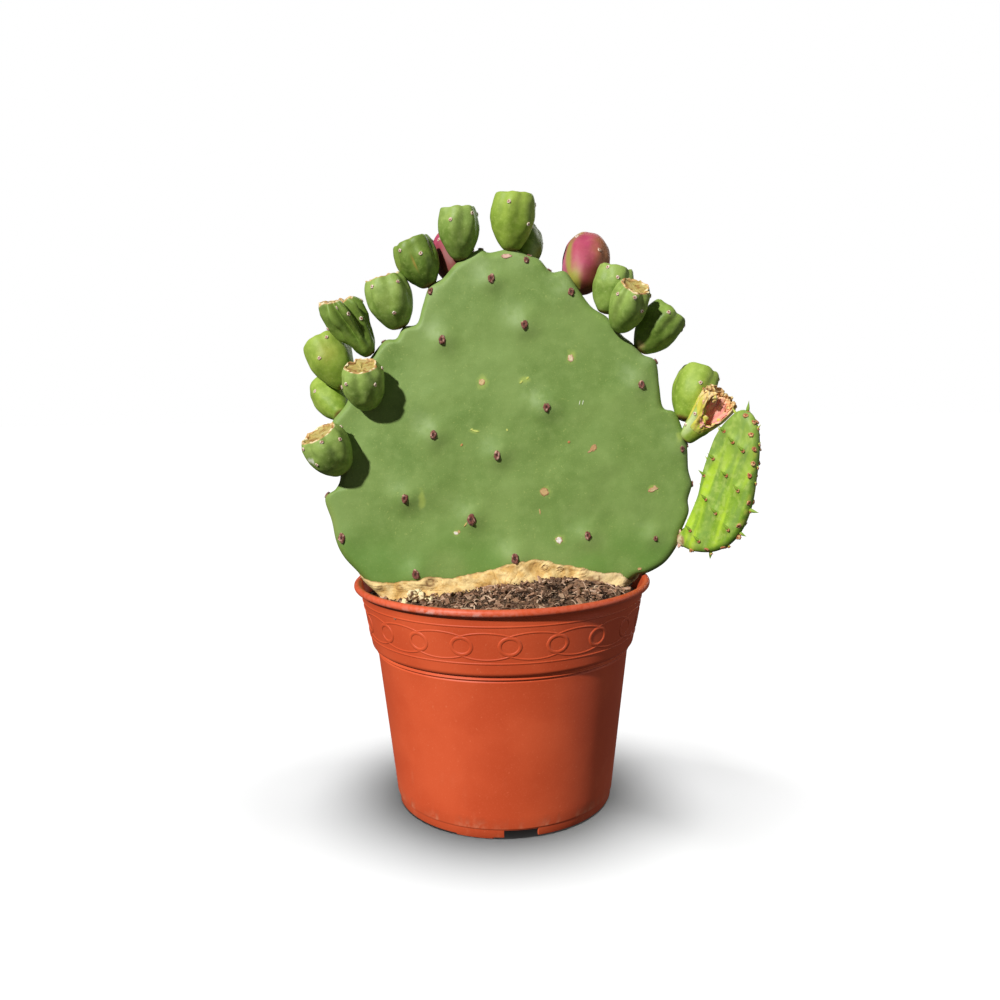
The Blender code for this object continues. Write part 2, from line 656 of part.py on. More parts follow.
def fruit_body(fruit, grow=0.0):
    """Turn a fruit's profile about its own axis, with ribs that wind a little round it.

    Columns of points lie by turns on a rib and in the furrow beside it. A cutter grows outward below
    the crest and into the dish above it.
    """
    half = fruit.width / 2

    def ribbed(radius, height, column):
        share = min(max(height / fruit.length, 0.0), 1.0)
        wave = fruit.rib if column % 2 == 0 else -fruit.rib
        reach = radius * (1.0 + wave * math.sin(math.pi * min(share + 0.15, 0.9)))
        return reach, math.pi * column / FRUIT_RIBS + FRUIT_TWIST * share

    shares = [share for share, _reach in FRUIT_PROFILES[fruit.kind]]
    crest = shares.index(max(shares))
    profile = []
    for index, (share, reach) in enumerate(FRUIT_PROFILES[fruit.kind]):
        height = share * (fruit.length + 2 * grow) - grow
        outward = grow * ((index < crest) - (index > crest))
        profile.append((reach * half + outward if reach else 0.0, height))
    return revolve(profile, 2 * FRUIT_RIBS, ribbed)


def fruit_areoles(fruit, grow=0.0):
    """Make the small areoles that wind round a fruit by the golden angle."""
    mesh = bmesh.new()
    profile = FRUIT_PROFILES[fruit.kind][:7]
    for index in range(FRUIT_AREOLES):
        share = 0.42 + 0.46 * index / (FRUIT_AREOLES - 1)
        turn = GOLDEN_ANGLE * index + fruit.length
        for (low, inner), (high, outer) in zip(profile, profile[1:]):
            if low <= share <= high:
                reach = inner + (outer - inner) * (share - low) / (high - low)
        radius = 0.985 * reach * fruit.width / 2
        away = Vector((math.cos(turn), math.sin(turn), 0.0))
        place = away * radius + Vector((0.0, 0.0, share * fruit.length))
        spike(mesh, place, away + Vector((0.0, 0.0, 0.3)), FRUIT_AREOLE_RADIUS + 2 * grow,
              FRUIT_AREOLE_HEIGHT + 2 * grow)
    return mesh


def fruit_axis(fruit):
    """Unit vector from a fruit's base to its tip."""
    sway, nod = math.radians(fruit.sway), math.radians(fruit.nod)
    return Vector((math.sin(sway) * math.cos(nod), -math.sin(nod), math.cos(sway) * math.cos(nod)))


def set_fruit_place(thing, fruit):
    """Stand a fruit's mesh on its base point and lean it."""
    thing.location = Vector(fruit.base) * MM
    thing.rotation_mode = "QUATERNION"
    thing.rotation_quaternion = Vector((0.0, 0.0, 1.0)).rotation_difference(fruit_axis(fruit))
    return thing


def make_fruit(fruit, parent):
    """Make one fruit with its areoles, and the cutter for its seat on the paddle."""
    finish = FRUIT_RIPE if fruit.kind == "ripe" else FRUIT_GREEN
    body = set_fruit_place(make_object(fruit.name, fruit_body(fruit), finish, parent), fruit)
    spots = set_fruit_place(make_object("spots", fruit_areoles(fruit), None, parent), fruit)
    combine(body, [spots], "UNION")
    return make_seat(fruit, parent)


def make_seat(fruit, parent):
    """Make the cutter that leaves a fruit clear of what it grows from."""
    seat = set_fruit_place(make_object("seat", fruit_body(fruit, GAP), None, parent), fruit)
    spots = set_fruit_place(make_object("spots", fruit_areoles(fruit, GAP), None, parent), fruit)
    combine(seat, [spots], "UNION")
    return seat


def petal(bearing, draw):
    """Make one withered petal: a bent strip that rises, leans out and folds in at its tip."""
    mesh = bmesh.new()
    out = Vector((math.cos(bearing), math.sin(bearing), 0.0))
    beside = Vector((-out.y, out.x, 0.0))
    step = PETAL_LENGTH * draw.uniform(0.8, 1.15) / PETAL_SECTIONS
    width = PETAL_WIDTH * draw.uniform(0.8, 1.15)
    fold = math.radians(draw.uniform(24.0, 46.0))
    climb = math.radians(draw.uniform(62.0, 80.0))
    place = out * PETAL_ROOT_RADIUS - Vector((0.0, 0.0, PETAL_ROOT_DEPTH))
    rings = []
    for index in range(PETAL_SECTIONS + 1):
        share = index / PETAL_SECTIONS
        half = 0.5 * width * (0.7 + 0.45 * math.sin(math.pi * min(share + 0.15, 1.0)))
        thick = (out * math.sin(climb) - Vector((0.0, 0.0, math.cos(climb)))) * PETAL_THICKNESS
        corners = (place - beside * half, place + beside * half,
                   place + beside * half + thick, place - beside * half + thick)
        rings.append([add_point(mesh, *corner) for corner in corners])
        place = place + (out * math.cos(climb) + Vector((0.0, 0.0, math.sin(climb)))) * step
        climb += fold
    for lower, upper in zip(rings, rings[1:]):
        bridge(mesh, lower, upper)
    mesh.faces.new(rings[0])
    mesh.faces.new(rings[-1])
    return mesh


def make_withered_flower(parent):
    """Join the petals over a small core that sits in the dish of the ovary's crown."""
    ovary = next(fruit for fruit in FRUITS if fruit.kind == "ovary")
    draw = random.Random(FLOWER_SEED)
    crown = ovary._replace(base=tuple(
        Vector(ovary.base) + fruit_axis(ovary) * ovary.length))
    core = revolve([(0.0, -5.0), (7.5, -5.0), (9.6, -2.0), (9.0, 0.5), (0.0, 1.5)], 12)
    flower = set_fruit_place(make_object("withered_flower", core, PETAL_TAN, parent), crown)
    strips = []
    for index in range(PETALS):
        bearing = math.tau * (index + draw.uniform(-0.15, 0.15)) / PETALS
        strip = make_object("petal", petal(bearing, draw), None, parent)
        strips.append(set_fruit_place(strip, crown))
    combine(flower, strips, "UNION", "MANIFOLD")
    combine(flower, [make_seat(ovary, parent)], "DIFFERENCE")


def main():
    """Build the plant and its pot, from what stands on the floor upwards."""
    clear_scene()
    axis = bpy.data.objects.new("pot_axis", None)
    axis.location = (POT_AXIS_X * MM, 0.0, 0.0)
    bpy.context.scene.collection.objects.link(axis)
    make_pot(axis)
    _base, foot_cutter = make_corky_base(axis)
    make_soil(axis, foot_cutter)
    seats = [make_fruit(fruit, axis) for fruit in FRUITS]
    make_withered_flower(axis)
    _young, young_seat = make_young_paddle(axis)
    make_main_paddle(axis, seats + [young_seat])


main()
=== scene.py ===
"""Dresses the potted paddle cactus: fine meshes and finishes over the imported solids.

Sizes and places are in millimetres, measured from the pot's axis at the floor, with +X to the
right, -Y to the front and +Z up. They become metres where a mesh is made.
"""
import itertools
import json
import logging
import math
from collections.abc import Callable, Sequence
from dataclasses import dataclass, field
from enum import Enum
from functools import cached_property, lru_cache
from typing import Any

import bmesh
import bpy
import numpy as np
from mathutils import Matrix, Vector

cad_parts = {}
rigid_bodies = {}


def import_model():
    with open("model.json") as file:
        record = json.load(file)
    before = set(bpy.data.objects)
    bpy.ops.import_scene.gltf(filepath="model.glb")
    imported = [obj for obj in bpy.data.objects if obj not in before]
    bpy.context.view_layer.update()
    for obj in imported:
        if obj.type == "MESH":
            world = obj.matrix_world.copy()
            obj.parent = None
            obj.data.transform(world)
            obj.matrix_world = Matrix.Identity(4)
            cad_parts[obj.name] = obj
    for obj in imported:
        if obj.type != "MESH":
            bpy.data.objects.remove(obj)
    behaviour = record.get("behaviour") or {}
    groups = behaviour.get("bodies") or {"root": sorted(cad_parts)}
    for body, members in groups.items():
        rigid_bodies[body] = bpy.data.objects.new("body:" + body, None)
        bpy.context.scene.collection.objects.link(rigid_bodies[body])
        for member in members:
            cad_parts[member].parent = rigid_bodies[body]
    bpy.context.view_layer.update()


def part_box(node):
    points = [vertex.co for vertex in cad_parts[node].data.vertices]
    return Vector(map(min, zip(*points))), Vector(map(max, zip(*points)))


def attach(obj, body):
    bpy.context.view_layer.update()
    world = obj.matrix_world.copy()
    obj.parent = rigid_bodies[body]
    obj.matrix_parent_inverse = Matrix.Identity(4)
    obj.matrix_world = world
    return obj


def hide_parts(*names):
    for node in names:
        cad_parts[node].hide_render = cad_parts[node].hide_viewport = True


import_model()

log = logging.getLogger("paddle_cactus")

MM = 0.001
GOLDEN_ANGLE = math.radians(137.5)

Array = np.ndarray
Colour = tuple[float, float, float]
Pair = tuple[float, float]
Triple = tuple[float, float, float]
Shade = tuple[int, int, int]
Relief = Callable[[Array, Array, float], Array]


def pot_axis() -> Array:
    """Return the point where the pot's axis meets the floor, in metres."""
    low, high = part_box("pot")
    return np.array(((low.x + high.x) / 2, (low.y + high.y) / 2, low.z))


def tint(red: int, green: int, blue: int) -> Colour:
    """Turn an 8-bit colour into a linear one.

    Args:
        red: Red from 0 to 255.
        green: Green from 0 to 255.
        blue: Blue from 0 to 255.

    Returns:
        The linear colour.
    """
    def linear(value: float) -> float:
        """Undo the display curve for one channel."""
        return value / 12.92 if value <= 0.04045 else ((value + 0.055) / 1.055) ** 2.4

    return (linear(red / 255), linear(green / 255), linear(blue / 255))


# ---- shader maths


def operator(operation: str, swapped: bool = False) -> Callable[["Wire", Any], "Wire"]:
    """Make an operator of wires.

    Args:
        operation: The Math node's operation.
        swapped: Whether the other value comes first.

    Returns:
        The method, which adds a Math node.
    """
    def combined(wire: "Wire", other: Any) -> "Wire":
        """Add a Math node for a wire and another value."""
        first, second = (other, wire) if swapped else (wire, other)
        return wire.recipe.node("ShaderNodeMath", {"operation": operation}, {0: first, 1: second})

    return combined


class Wire:
    """A shader socket that takes part in arithmetic; each operator adds a Math node."""

    def __init__(self, recipe: "Recipe", socket: bpy.types.NodeSocket) -> None:
        """Wrap a socket of the recipe's node tree."""
        self.recipe = recipe
        self.socket = socket

    __add__ = __radd__ = operator("ADD")
    __sub__, __rsub__ = operator("SUBTRACT"), operator("SUBTRACT", True)
    __mul__ = __rmul__ = operator("MULTIPLY")


@dataclass(frozen=True)
class Noise:
    """Soft noise: the size of its largest lumps in millimetres, and how it is broken up."""

    size: float
    detail: float = 2.0
    rough: float = 0.5
    stretch: Triple | None = None
    distortion: float = 0.0


class Recipe:
    """One node tree in the making: a finish, or the studio's background."""

    def __init__(self, owner: bpy.types.Material | bpy.types.World) -> None:
        """Empty a node tree.

        Args:
            owner: The material or world that it belongs to.
        """
        self.owner = owner
        owner.use_nodes = True
        self.tree = owner.node_tree
        self.tree.nodes.clear()
        self.noises: dict[Noise, Wire] = {}

    @classmethod
    def finish(cls, name: str) -> "Recipe":
        """Start a material."""
        return cls(bpy.data.materials.new(name))

    @cached_property
    def place(self) -> Wire:
        """Give each point's place in the object's own space."""
        return self.node("ShaderNodeTexCoord", output="Object")

    def node(self, kind: str, settings: dict[str, Any] | None = None,
             inputs: dict[Any, Any] | None = None, output: Any = 0) -> Wire:
        """Add a node.

        Args:
            kind: The node's type.
            settings: Its own settings, set first; "stops" fills a colour ramp.
            inputs: Values or links of its sockets, by name or number.
            output: The output that is returned, by name or number.

        Returns:
            The wrapped output.
        """
        made = self.tree.nodes.new(kind)
        for name, value in (settings or {}).items():
            if name == "stops":
                self._set_stops(made.color_ramp, value)
            else:
                setattr(made, name, value)
        for key, value in (inputs or {}).items():
            socket = made.inputs[key]
            if isinstance(value, Wire):
                self.tree.links.new(value.socket, socket)
            elif isinstance(value, tuple) and socket.type == "RGBA":
                socket.default_value = (*value[:3], 1.0)
            else:
                socket.default_value = value
        return Wire(self, made.outputs[output] if made.outputs else None)

    @staticmethod
    def _set_stops(ramp: bpy.types.ColorRamp, stops: Sequence[tuple[float, Colour]]) -> None:
        """Fill a ramp.

        Args:
            ramp: The ramp.
            stops: The place and the colour of each stop.
        """
        while len(ramp.elements) < len(stops):
            ramp.elements.new(1.0)
        for element, (place, colour) in zip(ramp.elements, stops):
            element.position = place
            element.color = (*colour, 1.0)

    def noise(self, kind: Noise) -> Wire:
        """Add soft noise, or give the same one again.

        Args:
            kind: The noise.

        Returns:
            Its value, from 0 to 1.
        """
        if kind not in self.noises:
            place = self.place
            if kind.stretch:
                place = self.node("ShaderNodeMapping", {}, {"Vector": place,
                                                            "Scale": kind.stretch})
            self.noises[kind] = self.node("ShaderNodeTexNoise", {}, {
                "Vector": place, "Scale": 1.0 / (kind.size * MM), "Detail": kind.detail,
                "Roughness": kind.rough, "Distortion": kind.distortion})
        return self.noises[kind]

    def between(self, value: Wire, low: float, high: float) -> Wire:
        """Ease a value from 0 at the low mark to 1 at the high one."""
        return self.node("ShaderNodeMapRange", {"interpolation_type": "SMOOTHSTEP"}, {
            "Value": value, "From Min": low, "From Max": high})

    def painted(self, name: str, output: str = "Fac") -> Wire:
        """Read a value that is painted on the mesh."""
        return self.node("ShaderNodeAttribute", {"attribute_name": name}, output=output)

    def ramp(self, value: Wire, stops: Sequence[tuple[float, Colour]]) -> Wire:
        """Turn a value into a colour by stops."""
        return self.node("ShaderNodeValToRGB", {"stops": stops}, {0: value}, output="Color")

    def mix(self, factor: Any, first: Any, second: Any) -> Wire:
        """Mix two colours by a factor."""
        return self.node("ShaderNodeMix", {"data_type": "RGBA"}, {0: factor, 6: first, 7: second},
                         output=2)

    def layered(self, colour: Any, layers: Sequence["Layer"]) -> Any:
        """Lay layers over a colour.

        Args:
            colour: The colour below.
            layers: The layers, the lowest one first.

        Returns:
            The mixed colour.
        """
        for layer in layers:
            factor = self.between(self.noise(layer.noise), layer.low, layer.high) * layer.share
            colour = self.mix(factor, colour, layer.colour)
        return colour

    def bump(self, height: Wire, depth: float, under: Wire | None = None) -> Wire:
        """Add a bump.

        Args:
            height: The relief, from 0 to 1.
            depth: Its depth in millimetres.
            under: A bump that it lies on.

        Returns:
            The bent normal.
        """
        inputs: dict[Any, Any] = {"Height": height, "Distance": depth * MM, "Strength": 1.0}
        if under is not None:
            inputs["Normal"] = under
        return self.node("ShaderNodeBump", {}, inputs)

    def surface(self, colour: Any, roughness: Any, normal: Wire | None = None,
                **constants: Any) -> bpy.types.Material:
        """End the recipe with a Principled shader.

        Args:
            colour: Base colour.
            roughness: Roughness.
            normal: The bent normal.
            **constants: Values that are the same all over, with _ for each space.

        Returns:
            The finished material.
        """
        inputs: dict[Any, Any] = {"Base Color": colour, "Roughness": roughness}
        if normal is not None:
            inputs["Normal"] = normal
        inputs.update({name.replace("_", " "): value for name, value in constants.items()})
        shader = self.node("ShaderNodeBsdfPrincipled", {}, inputs)
        self.node("ShaderNodeOutputMaterial", {}, {"Surface": shader})
        return self.owner


# ---- finishes


@dataclass(frozen=True)
class Layer:
    """A colour that a noise brings out between two marks, up to a share of its strength."""

    noise: Noise
    low: float
    high: float
    colour: Colour
    share: float = 1.0


@dataclass(frozen=True)
class Finish:
    """A ground colour with layers over it, painted stains, flecks, and relief from fine up."""

    name: str
    ground: Colour
    layers: tuple[Layer, ...]
    relief: tuple[tuple[Noise, float], ...]
    rough: float
    specular: float
    broken: tuple[Noise, float, float] | None = None
    cloudy: tuple[Noise, float] | None = None
    flecks: tuple[Layer, ...] = ()
    sheen: float = 0.0

    def grounded(self, mix: Recipe) -> Any:
        """Give the lowest colour."""
        return self.ground

    def toned(self, mix: Recipe, colour: Any) -> Any:
        """Let the painted tone change the colour, where a finish has a use for it."""
        return colour

    def material(self) -> bpy.types.Material:
        """Make the material.

        Returns:
            The material.
        """
        mix = Recipe.finish(self.name)
        colour = self.toned(mix, mix.layered(self.grounded(mix), self.layers))
        strength = mix.painted("stain", "Alpha")
        if self.broken:
            noise, low, high = self.broken
            strength = strength * mix.between(mix.noise(noise), low, high)
        colour = mix.mix(strength, colour, mix.painted("stain", "Color"))
        colour = mix.layered(colour, self.flecks)
        normal, rough = None, self.rough
        for noise, depth in self.relief:
            normal = mix.bump(mix.noise(noise), depth, normal)
        if self.cloudy:
            rough = rough + self.cloudy[1] * mix.noise(self.cloudy[0])
        return mix.surface(colour, rough, normal, Specular_IOR_Level=self.specular,
                           Sheen_Weight=self.sheen)


class Flesh(Finish):
    """Waxy green skin, clouded and finely freckled, which a tone makes paler."""

    def toned(self, mix: Recipe, colour: Any) -> Any:
        """Lay the colour of the pale patches over by the tone."""
        return mix.mix(mix.painted("tone"), colour, self.layers[1].colour)


class RipeSkin(Finish):
    """Magenta skin with paler blotches, which a tone turns back to an unripe green."""

    def toned(self, mix: Recipe, colour: Any) -> Any:
        """Lay green over where the tone and the clouds are strong."""
        clouds = mix.noise(self.layers[0].noise)
        return mix.mix(mix.between(mix.painted("tone") + 0.3 * clouds, 0.4, 0.9), colour,
                       tint(178, 176, 92))


class Litter(Finish):
    """Dark potting mix, its chips and its fibres, each in its own painted brown."""

    def grounded(self, mix: Recipe) -> Any:
        """Take a brown from dark to pale by the tone and the crumbs."""
        level = mix.painted("tone") * 0.75 + mix.noise(self.relief[-1][0]) * 0.5 - 0.12
        return mix.ramp(level, ((0.14, tint(44, 30, 23)), (0.54, self.ground),
                                (1.0, self.layers[0].colour)))


def pot_plastic() -> Finish:
    """Give matt moulded plastic with faint clouds, pale specks and small scuffs.

    Returns:
        The finish.
    """
    clouds, grain, pale = Noise(42.0, 3.0), Noise(1.0), tint(238, 128, 88)
    return Finish("pot_plastic", tint(209, 82, 43),
                  (Layer(clouds, 0.35, 0.7, tint(221, 92, 51)),
                   Layer(grain, 0.5, 0.85, pale, 0.22),
                   Layer(Noise(1.6, 1.0), 0.7, 0.77, pale, 0.35)),
                  ((grain, 0.018), (clouds, 0.3)), rough=0.44, specular=0.36,
                  broken=(Noise(2.6, 3.0), 0.3, 0.6), cloudy=(clouds, 0.12))


def flesh(name: str, base: Shade, pale: Shade, deep: Shade, freckle: Shade, cloud: float,
          rough: float) -> Flesh:
    """Give a green skin.

    Args:
        name: The material's name.
        base: Its main colour.
        pale: The colour of its pale patches.
        deep: The colour between its clouds.
        freckle: The colour of its freckles.
        cloud: Size of its clouds in millimetres.
        rough: Its roughness.

    Returns:
        The finish.
    """
    patches, dust = Noise(cloud * 0.28, 3.0), Noise(0.8)
    return Flesh(name, tint(*deep),
                 (Layer(Noise(cloud, 4.0, 0.55, distortion=0.4), 0.34, 0.7, tint(*base)),
                  Layer(patches, 0.42, 0.78, tint(*pale), 0.55),
                  Layer(dust, 0.56, 0.76, tint(*freckle), 0.3),
                  Layer(Noise(1.7, 1.0), 0.68, 0.76, tint(*freckle), 0.4)),
                 ((dust, 0.02), (Noise(5.0, 3.0), 0.2)), rough=rough, specular=0.28,
                 broken=(Noise(1.4), 0.15, 0.42), cloudy=(patches, 0.12))


def ripe_skin() -> RipeSkin:
    """Give the magenta skin of the ripe fruits.

    Returns:
        The finish.
    """
    clouds, dust, blush = Noise(9.0, 4.0, 0.6), Noise(0.9), tint(196, 100, 112)
    return RipeSkin("fruit_ripe", tint(166, 68, 88),
                    (Layer(clouds, 0.35, 0.65, tint(186, 70, 104)),
                     Layer(Noise(4.0, 3.0), 0.5, 0.75, blush, 0.6),
                     Layer(dust, 0.62, 0.75, blush, 0.35)),
                    ((dust, 0.02), (clouds, 0.25)), rough=0.48, specular=0.36,
                    cloudy=(clouds, 0.15))


def wool() -> Finish:
    """Give felted areole wool and bristles, in the painted colours with fine flecks."""
    fluff = Noise(0.55)
    return Finish("areole_wool", tint(124, 74, 56), (), ((fluff, 0.25),), rough=0.85,
                  specular=0.2, sheen=0.25,
                  flecks=(Layer(fluff, 0.56, 0.72, tint(214, 178, 160), 0.4),))


def cork_bark() -> Finish:
    """Give golden, lumpy cork with soft brown hollows and pale worn patches.

    Returns:
        The finish.
    """
    lumpy, crumbs = Noise(7.0, 4.0, 0.55, distortion=0.3), Noise(1.5, 3.0)
    brown = tint(168, 124, 70)
    return Finish("cork_bark", tint(222, 178, 104),
                  (Layer(lumpy, 0.36, 0.62, tint(250, 218, 152)),
                   Layer(lumpy, 0.4, 0.28, brown, 0.45), Layer(crumbs, 0.44, 0.3, brown, 0.35)),
                  ((crumbs, 0.3), (lumpy, 0.8)), rough=0.8, specular=0.2,
                  broken=(crumbs, 0.15, 0.45))


def litter(name: str) -> Litter:
    """Give a brown of the soil, for the bed or for what lies on it."""
    crumbs, grain = Noise(2.2, 4.0, 0.65), Noise(0.7, stretch=(1.0, 0.35, 1.0))
    return Litter(name, tint(158, 118, 92), (Layer(grain, 0.5, 0.75, tint(236, 206, 178), 0.3),),
                  ((grain, 0.15), (crumbs, 0.5)), rough=0.9, specular=0.15)


def petal_paper() -> Finish:
    """Give papery withered petals: ribbed tan, with stains of pink and brown.

    Returns:
        The finish.
    """
    ribs, clouds = Noise(1.5, stretch=(1.0, 1.0, 0.25)), Noise(5.0, 3.0)
    return Finish("petal_tan", tint(236, 202, 122),
                  (Layer(ribs, 0.35, 0.7, tint(250, 228, 170)),
                   Layer(clouds, 0.55, 0.75, tint(150, 92, 52), 0.7)),
                  ((Noise(0.7), 0.1), (ribs, 0.35)), rough=0.72, specular=0.25,
                  broken=(clouds, 0.15, 0.45), sheen=0.1)


@dataclass(frozen=True)
class StudioFloor:
    """A plain pale floor with the faintest mottling."""

    base: Colour = (0.86, 0.86, 0.86)

    def material(self) -> bpy.types.Material:
        """Make the material.

        Returns:
            The material.
        """
        mix = Recipe.finish("studio_floor")
        colour = mix.mix(mix.noise(Noise(180.0)) * 0.04, self.base, (0.8, 0.8, 0.8))
        return mix.surface(colour, 0.9, None, Specular_IOR_Level=0.0)


class Skin(Enum):
    """The finishes of the plant, its pot and the floor."""

    OLD = flesh("old_flesh", (130, 157, 81), (143, 169, 93), (117, 146, 71),
                (180, 194, 108), 26.0, 0.5)
    YOUNG = flesh("young_flesh", (152, 188, 56), (182, 210, 78), (122, 162, 44),
                  (198, 218, 108), 14.0, 0.45)
    FRUIT = flesh("fruit_green", (146, 172, 80), (174, 198, 108), (116, 146, 58),
                  (190, 204, 128), 12.0, 0.46)
    FRUIT_BRIGHT = flesh("fruit_green_bright", (156, 182, 70), (178, 200, 92),
                         (128, 158, 50), (196, 208, 116), 12.0, 0.48)
    FRUIT_DEEP = flesh("fruit_green_deep", (124, 152, 60), (150, 176, 84),
                       (92, 120, 40), (172, 188, 104), 12.0, 0.42)
    RIPE = ripe_skin()
    POT = pot_plastic()
    WOOL = wool()
    CORK = cork_bark()
    SOIL = litter("soil_mulch")
    LITTER = litter("bark_litter")
    PETAL = petal_paper()
    FLOOR = StudioFloor()


@lru_cache(maxsize=None)
def finish(kind: Skin) -> bpy.types.Material:
    """Make a finish's material once, and give the same one each time."""
    return kind.value.material()


# ---- shaping tools


def lumps(points: Array, size: float, seed: int = 0, layers: int = 1) -> Array:
    """Give smooth noise at points.

    Args:
        points: Points with two or three coordinates.
        size: Size of the largest lumps.
        seed: Choice of the pattern.
        layers: Number of layers, each half the size and strength of the one before.

    Returns:
        A value from about -1 to 1 for each point.
    """
    if points.shape[-1] == 2:
        points = np.concatenate((points, np.zeros_like(points[..., :1])), axis=-1)
    total = np.zeros(points.shape[:-1])
    for layer in range(layers):
        cell = points * (2 ** layer / size) + seed * 17.31 + layer * 5.7
        low = np.floor(cell).astype(np.int64)
        part = cell - low
        ease = part * part * (3.0 - 2.0 * part)
        for corner in itertools.product((0, 1), repeat=3):
            key = low + np.array(corner)
            mixed = (key[..., 0] * 73856093) ^ (key[..., 1] * 19349663) ^ (key[..., 2] * 83492791)
            mixed = (mixed ^ (mixed >> 13)) * 1274126177
            value = ((mixed >> 5) & 0xFFFF) / 32767.5 - 1.0
            weight = np.prod(np.where(np.array(corner) == 1, ease, 1.0 - ease), axis=-1)
            total += value * weight * 0.5 ** layer
    return total


def eased(value: Array, low: float = 0.0, high: float = 1.0) -> Array:
    """Ease values from 0 at the low mark to 1 at the high one."""
    part = np.clip((np.asarray(value, float) - low) / (high - low), 0.0, 1.0)
    return part * part * (3.0 - 2.0 * part)


def smooth_curve(points: Sequence[Sequence[float]], steps: int, closed: bool) -> Array:
    """Run a Catmull-Rom curve through points.

    Args:
        points: The points that it runs through.
        steps: Number of points that each stretch becomes.
        closed: Whether the curve closes on itself.

    Returns:
        The points of the curve.
    """
    given = np.array(points, float)
    if closed:
        given = np.concatenate((given[-1:], given, given[:2]))
    else:
        given = np.concatenate((2 * given[:1] - given[1:2], given, 2 * given[-1:] - given[-2:-1]))
    t = np.arange(steps)[:, None] / steps
    parts = []
    for p0, p1, p2, p3 in zip(given, given[1:], given[2:], given[3:]):
        parts.append(0.5 * (2 * p1 + (p2 - p0) * t + (2 * p0 - 5 * p1 + 4 * p2 - p3) * t * t
                            + (3 * p1 - p0 - 3 * p2 + p3) * t ** 3))
    if not closed:
        parts.append(given[-2:-1])
    return np.concatenate(parts)


def even_loop(points: Sequence[Pair], count: int) -> Array:
    """Place points at even distances along a smooth closed curve.

    Args:
        points: The points that the curve runs through.
        count: Number of points that are wanted.

    Returns:
        The points.
    """
    curve = smooth_curve(points, 16, True)
    curve = np.concatenate((curve, curve[:1]))
    reach = np.concatenate(((0.0,), np.cumsum(np.linalg.norm(np.diff(curve, axis=0), axis=1))))
    goal = np.arange(count) * reach[-1] / count
    return np.stack([np.interp(goal, reach, curve[:, axis]) for axis in (0, 1)], axis=-1)


def band_faces(rows: int, columns: int, closed: bool = True) -> Array:
    """Give the quads over rows of points.

    Args:
        rows: Number of rows.
        columns: Number of points in a row.
        closed: Whether each row closes on itself.

    Returns:
        The corners of each quad.
    """
    index = np.arange(rows * columns).reshape(rows, columns)
    following = np.roll(index, -1, axis=1)
    if not closed:
        index, following = index[:, :-1], following[:, :-1]
    return np.stack((index[:-1], following[:-1], following[1:], index[1:]), -1).reshape(-1, 4)


def disc_cap(first: int, columns: int, tip: int) -> Array:
    """Give the triangles that close a row of points to one tip."""
    index = np.arange(columns)
    return np.stack((first + index, first + (index + 1) % columns, np.full(columns, tip)), -1)


def upright_turn(degrees: float) -> Array:
    """Give the matrix that turns points about their third axis."""
    return np.array(Matrix.Rotation(math.radians(degrees), 3, "Z"))


def closed_faces(rows: int, columns: int) -> list[Array]:
    """Give the faces over rows of points that end in two tips, which come last."""
    tip = rows * columns
    return [band_faces(rows, columns), disc_cap(0, columns, tip),
            disc_cap(tip - columns, columns, tip + 1)]


def around(reach: Any, bearing: Array, height: Any) -> Array:
    """Give points by their reach from an upright axis, bearing from the front and height."""
    sides = np.broadcast_arrays(reach * np.sin(bearing), -reach * np.cos(bearing), height)
    return np.stack(sides, -1)


def ring_turns(count: int) -> Array:
    """Give evenly spaced angles all the way round."""
    return np.arange(count) * math.tau / count


def looked_up(table: Sequence[Pair], value: Array) -> Array:
    """Read a table of pairs at values, in straight lines between its rows."""
    return np.interp(value, *np.array(table, float).T)


def unit(vectors: Array) -> Array:
    """Scale vectors to a length of 1."""
    return vectors / np.maximum(np.linalg.norm(vectors, axis=-1, keepdims=True), 1e-9)


def frames_on(normals: Array, turns: Array) -> Array:
    """Give turned frames whose third axis is each normal.

    Args:
        normals: Unit normals.
        turns: Angles about the normals.

    Returns:
        Matrices whose columns are the axes of each frame.
    """
    helper = np.where(np.abs(normals[:, 2:]) < 0.9, (0.0, 0.0, 1.0), (1.0, 0.0, 0.0))
    first = unit(np.cross(helper, normals))
    second = np.cross(normals, first)
    cosine, sine = np.cos(turns)[:, None], np.sin(turns)[:, None]
    return np.stack((first * cosine + second * sine, second * cosine - first * sine, normals), -1)


